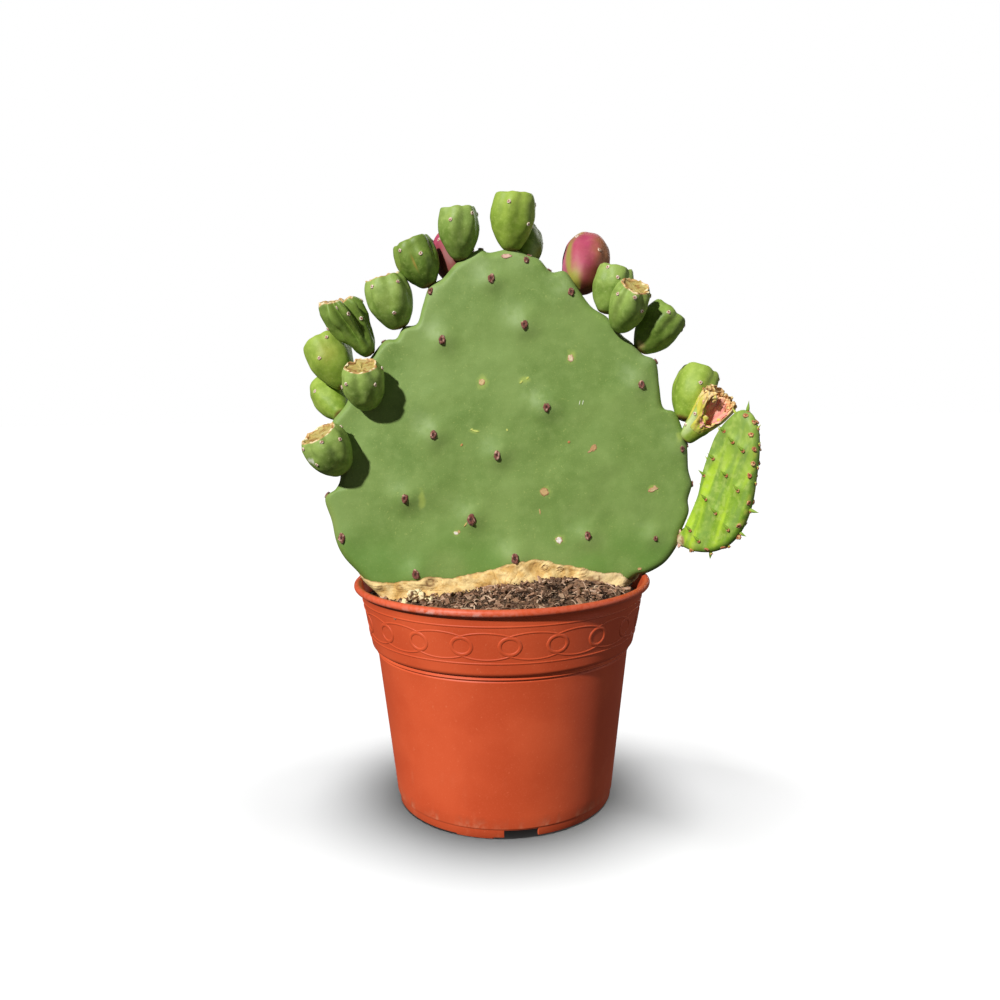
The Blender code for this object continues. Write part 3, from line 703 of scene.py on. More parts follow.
class Form:
    """Gathers the points, faces and paint of one piece."""

    def __init__(self) -> None:
        """Start with nothing."""
        self.points: list[Array] = []
        self.faces: list[Array] = []
        self.choices: list[Array] = []
        self.stains: list[Array] = []
        self.tones: list[Array] = []
        self.count = 0

    def add(self, points: Array, faces: Array, choice: int = 0, stain: Array | None = None,
            tone: Array | float = 0.0) -> None:
        """Add a shell.

        Args:
            points: Its points in millimetres, in any number of rows.
            faces: Its faces, all with the same number of corners, or a list of such sets.
            choice: Number of the finish that it takes.
            stain: Painted colour and strength of each point.
            tone: Painted value of each point.
        """
        flat = points.reshape(-1, 3)
        if stain is None:
            stain = np.zeros(4)
        self.points.append(flat)
        self.stains.append(np.broadcast_to(stain, (*points.shape[:-1], 4)).reshape(-1, 4))
        self.tones.append(np.broadcast_to(tone, points.shape[:-1]).reshape(-1))
        for group in faces if isinstance(faces, list) else [faces]:
            self.faces.append(group + self.count)
            self.choices.append(np.full(len(group), choice))
        self.count += len(flat)

    def stamp(self, points: Array, faces: Array, frames: Array, places: Array, choice: int = 0,
              stain: Array | None = None, tone: Array | None = None) -> None:
        """Add a copy of a small shell at each place.

        Args:
            points: The shell's points, or one set for each place.
            faces: The shell's faces.
            frames: Axes of each copy, scaled as wanted.
            places: Where each copy stands.
            choice: Number of the finish that they take.
            stain: Painted colour and strength of each copy, or of each copy's points.
            tone: Painted value of each copy.
        """
        copies = np.einsum("nij,...kj->nki" if points.ndim == 2 else "nij,nkj->nki",
                           frames, points) + places[:, None]
        count, size = copies.shape[:2]
        spread = (faces[None] + (np.arange(count) * size)[:, None, None]).reshape(-1,
                                                                                  faces.shape[1])
        if stain is not None and stain.ndim == 2:
            stain = stain[:, None]
        if tone is not None:
            tone = tone[:, None]
        self.add(copies, spread, choice, stain, 0.0 if tone is None else tone)

    def solid(self, name: str, finishes: Sequence[Skin], sharp: float = 180.0) -> bpy.types.Object:
        """Turn the shells into one object.

        Args:
            name: The object's name.
            finishes: Its finishes, by number.
            sharp: Angle in degrees from which an edge is sharp.

        Returns:
            The object, in place.
        """
        mesh = bpy.data.meshes.new(name)
        points = np.concatenate(self.points) * MM + pot_axis()
        sizes = np.concatenate([np.full(len(group), group.shape[1]) for group in self.faces])
        corners = np.concatenate([group.reshape(-1) for group in self.faces])
        mesh.vertices.add(len(points))
        mesh.vertices.foreach_set("co", points.astype(np.float32).reshape(-1))
        mesh.loops.add(len(corners))
        mesh.loops.foreach_set("vertex_index", corners.astype(np.int32))
        mesh.polygons.add(len(sizes))
        mesh.polygons.foreach_set("loop_start",
                                  np.concatenate(((0,), np.cumsum(sizes)[:-1])).astype(np.int32))
        mesh.polygons.foreach_set("material_index", np.concatenate(self.choices).astype(np.int32))
        stain = mesh.attributes.new("stain", "FLOAT_COLOR", "POINT")
        stain.data.foreach_set("color", np.concatenate(self.stains).astype(np.float32).reshape(-1))
        tone = mesh.attributes.new("tone", "FLOAT", "POINT")
        tone.data.foreach_set("value", np.concatenate(self.tones).astype(np.float32))
        mesh.update(calc_edges=True)
        work = bmesh.new()
        work.from_mesh(mesh)
        bmesh.ops.recalc_face_normals(work, faces=work.faces)
        work.to_mesh(mesh)
        work.free()
        mesh.shade_smooth()
        if sharp < 180.0:
            mesh.set_sharp_from_angle(angle=math.radians(sharp))
        thing = bpy.data.objects.new(name, mesh)
        bpy.context.scene.collection.objects.link(thing)
        for kind in finishes:
            mesh.materials.append(finish(kind))
        return thing


def show(thing: bpy.types.Object, replaced: str | None = None) -> None:
    """Let a piece ride on the root body, and hide the solid that it replaces.

    Args:
        thing: The piece.
        replaced: The solid's node, if it replaces one.
    """
    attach(thing, "root")
    if replaced:
        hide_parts(replaced)
    log.info("%s: %d faces", thing.name, len(thing.data.polygons))


def lay_stain(stain: Array, mask: Any, colour: Shade) -> None:
    """Lay a colour over painted stains in place.

    Args:
        stain: The stains, with strength last.
        mask: Strength of the new colour at each point, from 0 to 1.
        colour: The new colour.
    """
    mask = np.clip(np.broadcast_to(mask, stain.shape[:-1]), 0.0, 1.0)[..., None]
    old = stain[..., 3:] * (1.0 - mask)
    total = old + mask
    stain[..., :3] = np.where(total > 1e-6, (stain[..., :3] * old + np.array(tint(*colour)) * mask)
                              / np.maximum(total, 1e-6), stain[..., :3])
    stain[..., 3:] = total


def painted(points: Array, *layers: tuple[Any, Shade]) -> Array:
    """Paint points.

    Args:
        points: The points.
        *layers: Masks and colours, the lowest one first.

    Returns:
        The stain of each point, with strength last.
    """
    stain = np.zeros((*points.shape[:-1], 4))
    for mask, colour in layers:
        lay_stain(stain, mask, colour)
    return stain


# ---- the pot


@dataclass
class Pot:
    """The moulded nursery pot: wall, rolled rim, band with its chain, grooves, skirt and feet."""

    segments: int = 192
    wall: float = 1.6
    roll: Triple = (98.2, 150.0, 2.3)
    band_top: Pair = (95.0, 141.5)
    band_foot: Pair = (89.8, 113.0)
    body_top: Pair = (85.6, 103.8)
    body_foot: Pair = (75.0, 8.0)
    floor: Pair = (6.5, 8.6)
    skirt: Pair = (71.6, 73.8)
    skirt_foot: float = 1.0
    notch: Pair = (-0.7, 16.3)
    pad: Pair = (-25.0, -6.0)
    pad_radii: Pair = (69.6, 73.2)
    feet: int = 4
    drains: int = 6
    drain_ring: float = 48.0
    drain_radius: float = 5.0
    links: int = 20
    link_start: float = 2.6
    link_height: float = 128.5
    link_loop: Pair = (13.2, 8.5)
    link_ring: Pair = (6.1, 5.3)
    lines: tuple[float, ...] = (141.0, 117.6)
    ridge: Pair = (0.75, 0.34)
    ring_ridge: Pair = (1.4, 0.42)
    shoulder: tuple[Pair, ...] = (
        (0, 0), (0.1, 0.8), (-0.3, 1.5), (0.8, 2.3), (1.25, 2.9), (0.8, 3.5), (0.2, 4.2),
        (0.6, 4.8), (2.6, 5.6), (3.7, 7.0), (4.1, 8.6))
    # Pale colour of the scuff marks near the foot, also used for the painted highlight along the
    # foot's edge.
    scuff_and_highlight: Shade = (244, 160, 122)

    def profile(self) -> Array:
        """Trace the outside from the skirt to the rim, then the inside down to the floor.

        Returns:
            Rows of reach and height.
        """
        (skirt_in, skirt_out), skirt_z, wall = self.skirt, self.skirt_foot, self.wall
        foot_r, (body_r, body_z) = self.body_foot[0], self.body_top
        (band_r, band_z), (neck_r, neck_z) = self.band_foot, self.band_top
        lower = ((skirt_in, skirt_z + 0.4), (skirt_in + 0.3, skirt_z), (skirt_out - 0.4, skirt_z),
                 (skirt_out, skirt_z + 0.4), (skirt_out + 0.25, 5.9), (skirt_out + 0.5, 6.5),
                 (foot_r - 0.25, 6.8), (foot_r, 7.4))
        body = np.linspace(self.body_foot, self.body_top, 14)
        shoulder = smooth_curve(np.array(self.shoulder) + self.body_top, 3, False)
        band = np.linspace(self.band_foot, self.band_top, 9)
        neck = ((neck_r + 0.2, neck_z + 2.0), (neck_r + 0.8, neck_z + 4.6))
        turns = np.radians(np.linspace(-118.0, 180.0, 22))
        middle_r, middle_z, radius = self.roll
        roll = np.stack((middle_r + radius * np.cos(turns), middle_z + radius * np.sin(turns)), -1)
        inside = ((neck_r - wall + 0.4, neck_z + 2.0), (neck_r - wall, neck_z),
                  (band_r - wall, band_z - 1.0), (body_r - wall + 0.4, body_z + 1.5),
                  (foot_r - wall + 0.4, self.floor[1]), (self.drain_ring + 14.0, self.floor[1]),
                  (self.drain_ring - 14.0, self.floor[1]))
        return np.concatenate((lower, body[1:], shoulder[1:], band[1:], neck, roll, inside))

    def wall_mesh(self) -> bpy.types.Object:
        """Turn the wall, with its skirt notches, and cut the drain holes.

        Returns:
            The pot without its chain.
        """
        edges = [turn + side * 0.02 + 90.0 * foot for foot in range(self.feet)
                 for turn in self.notch for side in (-1, 1)]
        bearings = np.radians(np.unique(np.round(np.concatenate(
            (np.degrees(ring_turns(self.segments)), np.mod(edges, 360.0))), 3)))
        profile = self.profile()
        rows, columns = len(profile), len(bearings)
        height = np.repeat(profile[:, 1:], columns, axis=1)
        local = np.mod(np.degrees(bearings) - self.notch[0], 90.0)
        open_foot = local <= self.notch[1] - self.notch[0]
        low = height[:4]
        low[:, open_foot] = np.maximum(low[:, open_foot], self.floor[0] - 0.3)
        wave = 0.12 * lumps(np.stack((np.cos(bearings), np.sin(bearings)), -1) * 3.0, 1.0, 4)
        points = around(profile[:, :1] + wave * eased(height, 20.0, 60.0), bearings, height)
        under = around(self.skirt[0], bearings, self.floor[0])
        tips = ((0.0, 0.0, self.floor[0]), (0.0, 0.0, self.floor[1]))
        everything = np.concatenate((points.reshape(-1, 3), under, tips))
        first, shift = np.arange(columns), rows * columns
        following = (first + 1) % columns
        faces = [band_faces(rows, columns),
                 np.stack((first + shift, following + shift, following, first), -1),
                 disc_cap(shift, columns, shift + columns),
                 disc_cap(shift - columns, columns, shift + columns + 1)]
        form = Form()
        form.add(everything, faces, 0, self.scuffs_and_highlights(everything))
        self.add_pads(form)
        pot = form.solid("cactus_pot", [Skin.POT], 42.0)
        self.cut_drains(pot)
        return pot

    def scuffs_and_highlights(self, points: Array) -> Array:
        """Paint pale scuff marks, and painted highlights on the foot's edge, the rim's front and
        round its roll.

        Args:
            points: Points of the wall.

        Returns:
            The stain of each point.
        """
        across, back, high = points.T
        scuff = lumps(points * (1.0, 1.0, 0.4), 5.0, 3, 2)
        # Painted highlight: a pale line along the foot's edge, broken up by the scuff noise.
        foot_edge_highlight = np.exp(-((high - self.body_foot[1] + 0.4) / 0.7) ** 2)
        outer = np.hypot(across, back) > self.band_top[0] + 2.0
        # Painted highlight: a pale broken streak low on the front of the rim, left of the middle.
        rim_front_highlight = np.exp(-((across + 30.0) / 26.0) ** 2) * (back < 0.0)
        rim_front_highlight *= eased(lumps(points, 6.0, 6, 3), -0.7, 0.2)
        rim_front_highlight *= np.exp(-((high - 148.9) / 1.5) ** 2)
        return painted(
            points, (0.6 * foot_edge_highlight * eased(scuff, -0.5, 0.6), self.scuff_and_highlight),
            (0.2 * eased(scuff, 0.45, 0.9) * eased(high, 60.0, 10.0), self.scuff_and_highlight),
            (rim_front_highlight * outer, (255, 222, 210)),
            # Painted highlight: the rim's roll tinted lighter and pinker all round, standing in for
            # its top-lit sheen.
            (0.3 * eased(high, 145.0, 148.0) * outer, (238, 126, 100)))

    def add_pads(self, form: Form) -> None:
        """Add the resting pads inside the skirt.

        Args:
            form: The pot's form.
        """
        inner, outer = self.pad_radii
        top, steps = self.floor[0] + 0.8, 12
        section = np.array(((inner + 0.4, 0.0), (outer - 0.4, 0.0), (outer, 0.5), (outer, top),
                            (inner, top), (inner, 0.5)))
        size = len(section)
        ends = np.array((np.arange(size), np.arange(size * (steps - 1), size * steps)))
        for foot in range(self.feet):
            bearings = np.radians(np.linspace(*self.pad, steps) + 90.0 * foot)[:, None]
            form.add(around(section[:, 0], bearings, section[:, 1]),
                     [band_faces(steps, size), ends])

    def cut_drains(self, pot: bpy.types.Object) -> None:
        """Cut the drain holes through the floor.

        Args:
            pot: The turned pot.
        """
        work = bmesh.new()
        for turn in ring_turns(self.drains) + math.pi / self.drains:
            place = np.array((math.cos(turn) * self.drain_ring, math.sin(turn) * self.drain_ring,
                              self.floor[0]))
            bmesh.ops.create_cone(work, cap_ends=True, segments=24, radius1=self.drain_radius * MM,
                                  radius2=self.drain_radius * MM, depth=10.0 * MM,
                                  matrix=Matrix.Translation(pot_axis() + place * MM))
        data = bpy.data.meshes.new("drains")
        work.to_mesh(data)
        work.free()
        tool = bpy.data.objects.new("drains", data)
        bpy.context.scene.collection.objects.link(tool)
        cut = pot.modifiers.new("drains", "BOOLEAN")
        cut.operation = "DIFFERENCE"
        cut.solver = "EXACT"
        cut.object = tool
        bpy.context.view_layer.update()
        result = bpy.data.meshes.new_from_object(
            pot.evaluated_get(bpy.context.evaluated_depsgraph_get()))
        pot.modifiers.clear()
        pot.data = result
        bpy.data.objects.remove(tool)

    def add_ridge(self, form: Form, bearing: Array, height: Array, ridge: Pair) -> None:
        """Add one closed ridge that stands on the band.

        Args:
            form: The chain's form.
            bearing: Bearings of its line in radians.
            height: Heights of its line.
            ridge: Half its width, and its rise.
        """
        scale = self.band_top[0] - 2.0
        along = unit(np.stack(((np.roll(bearing, -1) - np.roll(bearing, 1) + math.pi) % math.tau
                               - math.pi, (np.roll(height, -1) - np.roll(height, 1)) / scale), -1))
        half, rise = ridge
        wide = np.array((-1.0, -0.72, -0.25, 0.25, 0.72, 1.0)) * half
        proud = np.array((-0.25, 0.55 * rise, 0.97 * rise, 0.97 * rise, 0.55 * rise, -0.25))
        high = height[:, None] + along[:, :1] * wide
        share = (high - self.band_foot[1]) / (self.band_top[1] - self.band_foot[1])
        reach = self.band_foot[0] + share * (self.band_top[0] - self.band_foot[0]) + proud
        points = around(reach, bearing[:, None] - along[:, 1:] * wide / scale, high)
        index = np.arange(points[..., 0].size).reshape(points.shape[:2])
        following = np.roll(index, -1, axis=0)
        beside, beyond = np.roll(index, -1, axis=1), np.roll(following, -1, axis=1)
        form.add(points, np.stack((index, beside, beyond, following), -1).reshape(-1, 4))

    def chain_mesh(self) -> bpy.types.Object:
        """Raise the chain of loops and rings, and the line above and below it.

        Returns:
            The chain.
        """
        form = Form()
        long, small = ring_turns(72), ring_turns(40)
        for link in range(self.links):
            middle = math.radians(self.link_start + link * 360.0 / self.links)
            self.add_ridge(form, middle + math.pi / self.links
                           + np.radians(self.link_loop[0]) * np.cos(long),
                           self.link_height + self.link_loop[1] * np.sin(long), self.ridge)
            self.add_ridge(form, middle + self.link_ring[0] * np.cos(small) / 92.0,
                           self.link_height + self.link_ring[1] * np.sin(small), self.ring_ridge)
        for line in self.lines:
            self.add_ridge(form, ring_turns(self.segments), np.full(self.segments, line),
                           self.ridge)
        return form.solid("relief_chain", [Skin.POT])

    def build(self) -> None:
        """Build the pot and its chain."""
        for thing, replaced in ((self.wall_mesh(), "pot"), (self.chain_mesh(), None)):
            thing.visible_diffuse = False
            show(thing, replaced)


# ---- the soil


@dataclass
class SoilBed:
    """The mound of potting mix, with its chips, fibres and pale crumbs."""

    level: float = 141.0
    mound: float = 11.0
    place: Pair = (35.0, 0.0)
    spread: Triple = (50.0, 42.0, 45.0)
    radius: float = 92.2
    rim: float = 140.2
    lower: tuple[Pair, ...] = ((84.0, 104.5), (73.4, 9.0))
    columns: int = 240
    rings: int = 64
    chips: int = 4300
    fibres: int = 260
    crumbs: int = 46
    heap: Pair = (-57.0, -23.0)
    heap_spread: Pair = (5.6, 3.4)
    heap_height: float = 7.5

    def height(self, x: Array, y: Array) -> Array:
        """Give the height of the smooth surface.

        Args:
            x: Places across.
            y: Places from front to back.

        Returns:
            The heights.
        """
        across = x - self.place[0]
        wide = np.where(across < 0.0, self.spread[0], self.spread[1])
        bulge = (across / wide) ** 2 + ((y - self.place[1]) / self.spread[2]) ** 2
        sunk = (1.4 * eased(-x, 10.0, 50.0) + 2.6 * eased(-x, 58.0, 72.0)) * eased(-y, -40.0, 20.0)
        smooth = self.level + self.mound * np.exp(-bulge) - sunk
        edge = eased(np.hypot(x, y), self.radius - 8.0, self.radius)
        return smooth * (1.0 - edge) + self.rim * edge

    def bed_mesh(self) -> bpy.types.Object:
        """Shape the bed with a crumbly top.

        Returns:
            The bed.
        """
        turns = ring_turns(self.columns)
        reach = np.linspace(1.0, 0.0, self.rings + 1)[:-1, None] * self.radius
        x, y = reach * np.cos(turns), reach * np.sin(turns)
        flat = np.stack((x, y), -1)
        rough = 1.1 * lumps(flat, 8.0, 1, 3) + 0.5 * np.abs(lumps(flat, 2.6, 2, 2))
        top = np.stack((x, y, self.height(x, y) + rough * eased(self.radius - reach, 0.0, 3.0)), -1)
        sides = [np.stack((r * np.cos(turns), r * np.sin(turns), np.full(self.columns, h)), -1)
                 for r, h in reversed(self.lower)]
        points = np.concatenate((np.stack(sides), top))
        tips = ((0.0, 0.0, self.lower[1][1]), (0.0, 0.0, float(self.height(0.0, 0.0))))
        everything = np.concatenate((points.reshape(-1, 3), tips))
        form = Form()
        form.add(everything, closed_faces(len(points), self.columns), 0, None,
                 0.1 + 0.15 * lumps(everything, 6.0, 5, 2))
        return form.solid("soil_bed", [Skin.SOIL])

    def litter_mesh(self) -> bpy.types.Object:
        """Scatter chips, fibres and pale crumbs over the bed.

        Returns:
            The loose litter.
        """
        draw = np.random.default_rng(11)
        form = Form()
        block = np.array(list(itertools.product((-1.0, 1.0), repeat=3)))
        sides = np.array(((0, 1, 3, 2), (4, 6, 7, 5), (0, 4, 5, 1), (2, 3, 7, 6), (0, 2, 6, 4),
                          (1, 5, 7, 3)))
        count = self.chips
        reach = (self.radius - 2.0) * np.sqrt(draw.random(count))
        turn = draw.random(count) * math.tau
        x, y = reach * np.cos(turn), reach * np.sin(turn)
        length = np.exp(draw.normal(0.62, 0.5, count)).clip(0.7, 5.4)
        width = length * draw.uniform(0.3, 0.7, count)
        thick = draw.uniform(0.25, 0.7, count) * np.minimum(width, 1.6)
        tilt = unit(draw.normal(0.0, 0.42, (count, 3)) + (0.0, 0.0, 1.0))
        frames = frames_on(tilt, draw.random(count) * math.tau)
        frames = frames * np.stack((length, width, thick), -1)[:, None, :]
        place = np.stack((x, y, self.height(x, y) + draw.uniform(-0.6, 1.5, count)), -1)
        shapes = block[None] * draw.uniform(0.55, 1.0, (count, 8, 3))
        form.stamp(shapes, sides, frames, place, 0, None, draw.beta(1.05, 1.9, count))
        self.add_fibres(form, draw)
        self.add_crumbs(form, draw)
        return form.solid("soil_litter", [Skin.LITTER], 30.0)

    def add_fibres(self, form: Form, draw: np.random.Generator) -> None:
        """Strew thin bent fibres and splinters.

        Args:
            form: The litter's form.
            draw: The source of chance.
        """
        for _ in range(self.fibres):
            reach, turn = (self.radius - 6.0) * math.sqrt(draw.random()), draw.random() * math.tau
            start = np.array((reach * math.cos(turn), reach * math.sin(turn)))
            heading = draw.random() * math.tau
            length, bend = draw.uniform(4.0, 15.0), draw.normal(0.0, 0.6)
            steps = np.linspace(0.0, 1.0, 6)
            angle = heading + bend * steps
            path = start + np.cumsum(np.stack((np.cos(angle), np.sin(angle)), -1), 0) * length / 6
            high = self.height(path[:, 0], path[:, 1]) + 0.9 + 1.4 * np.sin(steps * math.pi)
            if np.hypot(*path.T).max() > self.radius - 2.0:
                continue
            thick = draw.uniform(0.2, 0.62)
            line = np.concatenate((path, high[:, None]), -1)
            beside = np.stack((-np.sin(angle), np.cos(angle), np.zeros(6)), -1)
            ring = [line + beside * thick, line - beside * thick * 0.5 + (0, 0, thick * 0.8),
                    line - beside * thick * 0.5 - (0, 0, thick * 0.8)]
            points = np.stack(ring, 1)
            ends = np.array(((0, 1, 2), (15, 16, 17)))
            form.add(points, [band_faces(6, 3), ends], 0, None, draw.uniform(0.35, 1.0))

    def add_crumbs(self, form: Form, draw: np.random.Generator) -> None:
        """Set a few pale woody crumbs at the left of the foot.

        Args:
            form: The litter's form.
            draw: The source of chance.
        """
        for index in range(self.crumbs):
            across, back = draw.normal(0.0, self.heap_spread)
            size = draw.uniform(1.1, 2.7)
            x, y = across + self.heap[0], back + self.heap[1]
            lift = self.heap_height * math.exp(-(across ** 2 + back ** 2) / 44.0) \
                * draw.uniform(0.3, 1.0)
            points, faces = dome(18, 9, full=True)
            points = points * (1.0, 0.8, 0.7) * size
            points = points * (1.0 + 0.3 * lumps(points, 0.7 * size, index, 2))[..., None]
            stain = painted(points, (1.0, (250, 226, 178)),
                            (eased(lumps(points, 2.4, index), 0.1, 0.4), (96, 62, 38)))
            form.add(points + (x, y, float(self.height(x, y)) + 0.4 * size + lift),
                     faces, 0, stain)

    def build(self) -> None:
        """Build the bed and its litter."""
        show(self.bed_mesh(), "soil")
        show(self.litter_mesh())


def dome(columns: int, rings: int, full: bool = False) -> tuple[Array, list[Array]]:
    """Give a dome of radius 1 on a sunk foot, or a whole ball.

    Args:
        columns: Number of points round it.
        rings: Number of rings.
        full: Whether it is a whole ball.

    Returns:
        Its points, with its tips last, and its faces.
    """
    turns = ring_turns(columns)
    climb = np.linspace(-0.5 * math.pi if full else -0.2 * math.pi, 0.5 * math.pi, rings + 2)
    reach, high = np.cos(climb[1:-1, None]), np.sin(climb[1:-1, None])
    points = np.stack(np.broadcast_arrays(reach * np.cos(turns), reach * np.sin(turns), high), -1)
    tips = ((0.0, 0.0, min(-1.0 if full else -0.6, high[0, 0])), (0.0, 0.0, 1.0))
    return np.concatenate((points.reshape(-1, 3), tips)), closed_faces(rings, columns)


# ---- flat bodies


@dataclass
class Slab:
    """A flat fleshy body with a round edge and two crowned faces, standing in the XZ plane."""

    edge: tuple[Pair, ...]
    centre: Pair
    reach: float
    edge_round: float
    crown: float
    columns: int
    rings: int
    swell: Triple = (0.0, 200.0, 60.0)
    fade: float = 9.0
    outline: Array = field(init=False)
    bearings: Array = field(init=False)
    radii: Array = field(init=False)
    broad: Array = field(init=False)

    def __post_init__(self) -> None:
        """Even out the outline and note how far it reaches each way."""
        self.outline = even_loop(self.edge, self.columns)
        away = self.outline - self.centre
        angle = np.arctan2(away[:, 1], away[:, 0])
        order = np.argsort(angle)
        self.bearings = angle[order]
        self.radii = np.hypot(away[:, 0], away[:, 1])[order]
        bearing = ring_turns(720) + math.pi / 720 - math.pi
        reach = np.interp(bearing, self.bearings, self.radii, period=math.tau)
        spread = np.exp(-0.5 * (bearing / math.radians(9.0)) ** 2)
        blurred = np.fft.ifft(np.fft.fft(reach) * np.fft.fft(np.fft.ifftshift(spread))).real
        self.broad = np.stack((bearing, blurred / spread.sum()))

    def polar(self, x: Array, z: Array) -> tuple[Array, Array]:
        """Give bearings and distances of places from the centre."""
        dx, dz = np.asarray(x) - self.centre[0], np.asarray(z) - self.centre[1]
        return np.arctan2(dz, dx), np.hypot(dx, dz)

    def share(self, x: Array, z: Array) -> Array:
        """Give how far out points lie, from 0 at the centre to 1 on the outline."""
        bearing, away = self.polar(x, z)
        return away / np.interp(bearing, self.bearings, self.radii, period=math.tau)

    def half(self, x: Array, z: Array) -> Array:
        """Give half the thickness.

        Args:
            x: Places across.
            z: Heights.

        Returns:
            Half the thickness at each place.
        """
        inset = np.clip((1.0 - self.share(x, z)) * self.reach, 0.0, self.edge_round)
        edge = np.sqrt(self.edge_round ** 2 - (self.edge_round - inset) ** 2)
        bearing, away = self.polar(x, z)
        broad = np.interp(bearing, *self.broad, period=math.tau)
        full = edge + self.crown * (1.0 - np.minimum(away / broad, 1.0) ** 2)
        return full * (1.0 + self.swell[0] * eased((self.swell[1] - z) / self.swell[2]))

    def fading(self, x: Array, z: Array) -> Array:
        """Give how strongly relief shows at places, which is nothing on the outline."""
        return eased((1.0 - self.share(x, z)) * self.reach, 0.0, self.fade)

    def shares(self) -> Array:
        """Space the rings, close together on the round edge.

        Returns:
            Each ring's share of the way out.
        """
        turns = np.linspace(0.0, 0.5 * math.pi, 8)
        edge = 1.0 - self.edge_round / self.reach * (1.0 - np.cos(turns))
        return np.concatenate((edge, np.linspace(edge[-1], 0.0, self.rings + 1)[1:-1]))

    def sheets(self, relief: Relief) -> tuple[Array, list[Array]]:
        """Shape both faces.

        Args:
            relief: How far the skin stands out, by x, z and side.

        Returns:
            The points and faces of the closed body.
        """
        shares = self.shares()
        flat = np.array(self.centre) + (self.outline - self.centre)[None] * shares[:, None, None]
        x, z = flat[..., 0], flat[..., 1]
        rows, columns, middle = len(shares) - 1, self.columns, np.array(self.centre)
        parts, faces = [np.stack((x[0], np.zeros(columns), z[0]), -1)], []
        first, following, start = np.arange(columns), np.roll(np.arange(columns), -1), columns
        for side in (-1.0, 1.0):
            depth = self.half(x[1:], z[1:]) + relief(x[1:], z[1:], side)
            tip = float((self.half(*middle) + relief(middle[:1], middle[1:], side))[0])
            parts += [np.stack((x[1:], side * depth, z[1:]), -1).reshape(-1, 3),
                      np.array(((middle[0], side * tip, middle[1]),))]
            faces += [np.stack((first, following, following + start, first + start), -1),
                      band_faces(rows, columns) + start,
                      disc_cap(start + (rows - 1) * columns, columns, start + rows * columns)]
            start += rows * columns + 1
        return np.concatenate(parts), faces

    def on_skin(self, x: float, z: float, side: float,
                relief: Relief | None = None) -> tuple[Array, Array]:
        """Give a point of the smooth skin and the way it faces.

        Args:
            x: Place across.
            z: Height.
            side: -1 for the front and 1 for the back.
            relief: Further relief that the point stands on.

        Returns:
            The point and its unit normal.
        """
        step, depth = 0.5, float(self.half(x, z))
        slope_x = (float(self.half(x + step, z)) - depth) / step
        slope_z = (float(self.half(x, z + step)) - depth) / step
        normal = unit(np.array((-slope_x, side, -slope_z)))
        lift = float(relief(np.array((x,)), np.array((z,)), side)[0]) if relief else 0.0
        return np.array((x, side * depth, z)) + normal * lift, normal

    def on_rim(self, x: float, z: float) -> tuple[Array, Array]:
        """Find the point of the outline next to a place.

        Args:
            x: Place across.
            z: Height.

        Returns:
            The point and the way it faces.
        """
        index = int(np.argmin(np.hypot(*(self.outline - (x, z)).T)))
        along = unit(self.outline[(index + 3) % self.columns] - self.outline[index - 3])
        place = self.outline[index]
        return np.array((place[0], 0.0, place[1])), np.array((-along[1], 0.0, along[0]))


def bumps(x: Array, z: Array, marks: Sequence[Sequence[float]], radius: float,
          height: float) -> Array:
    """Give soft round bumps at marks.

    Args:
        x: Places across.
        z: Heights.
        marks: The marks, with their place first.
        radius: Radius of a bump.
        height: Height of a bump.

    Returns:
        The relief.
    """
    total = np.zeros(np.broadcast(x, z).shape)
    for mark in marks:
        total += height * np.exp(-((x - mark[0]) ** 2 + (z - mark[1]) ** 2) / (0.3 * radius ** 2))
    return total


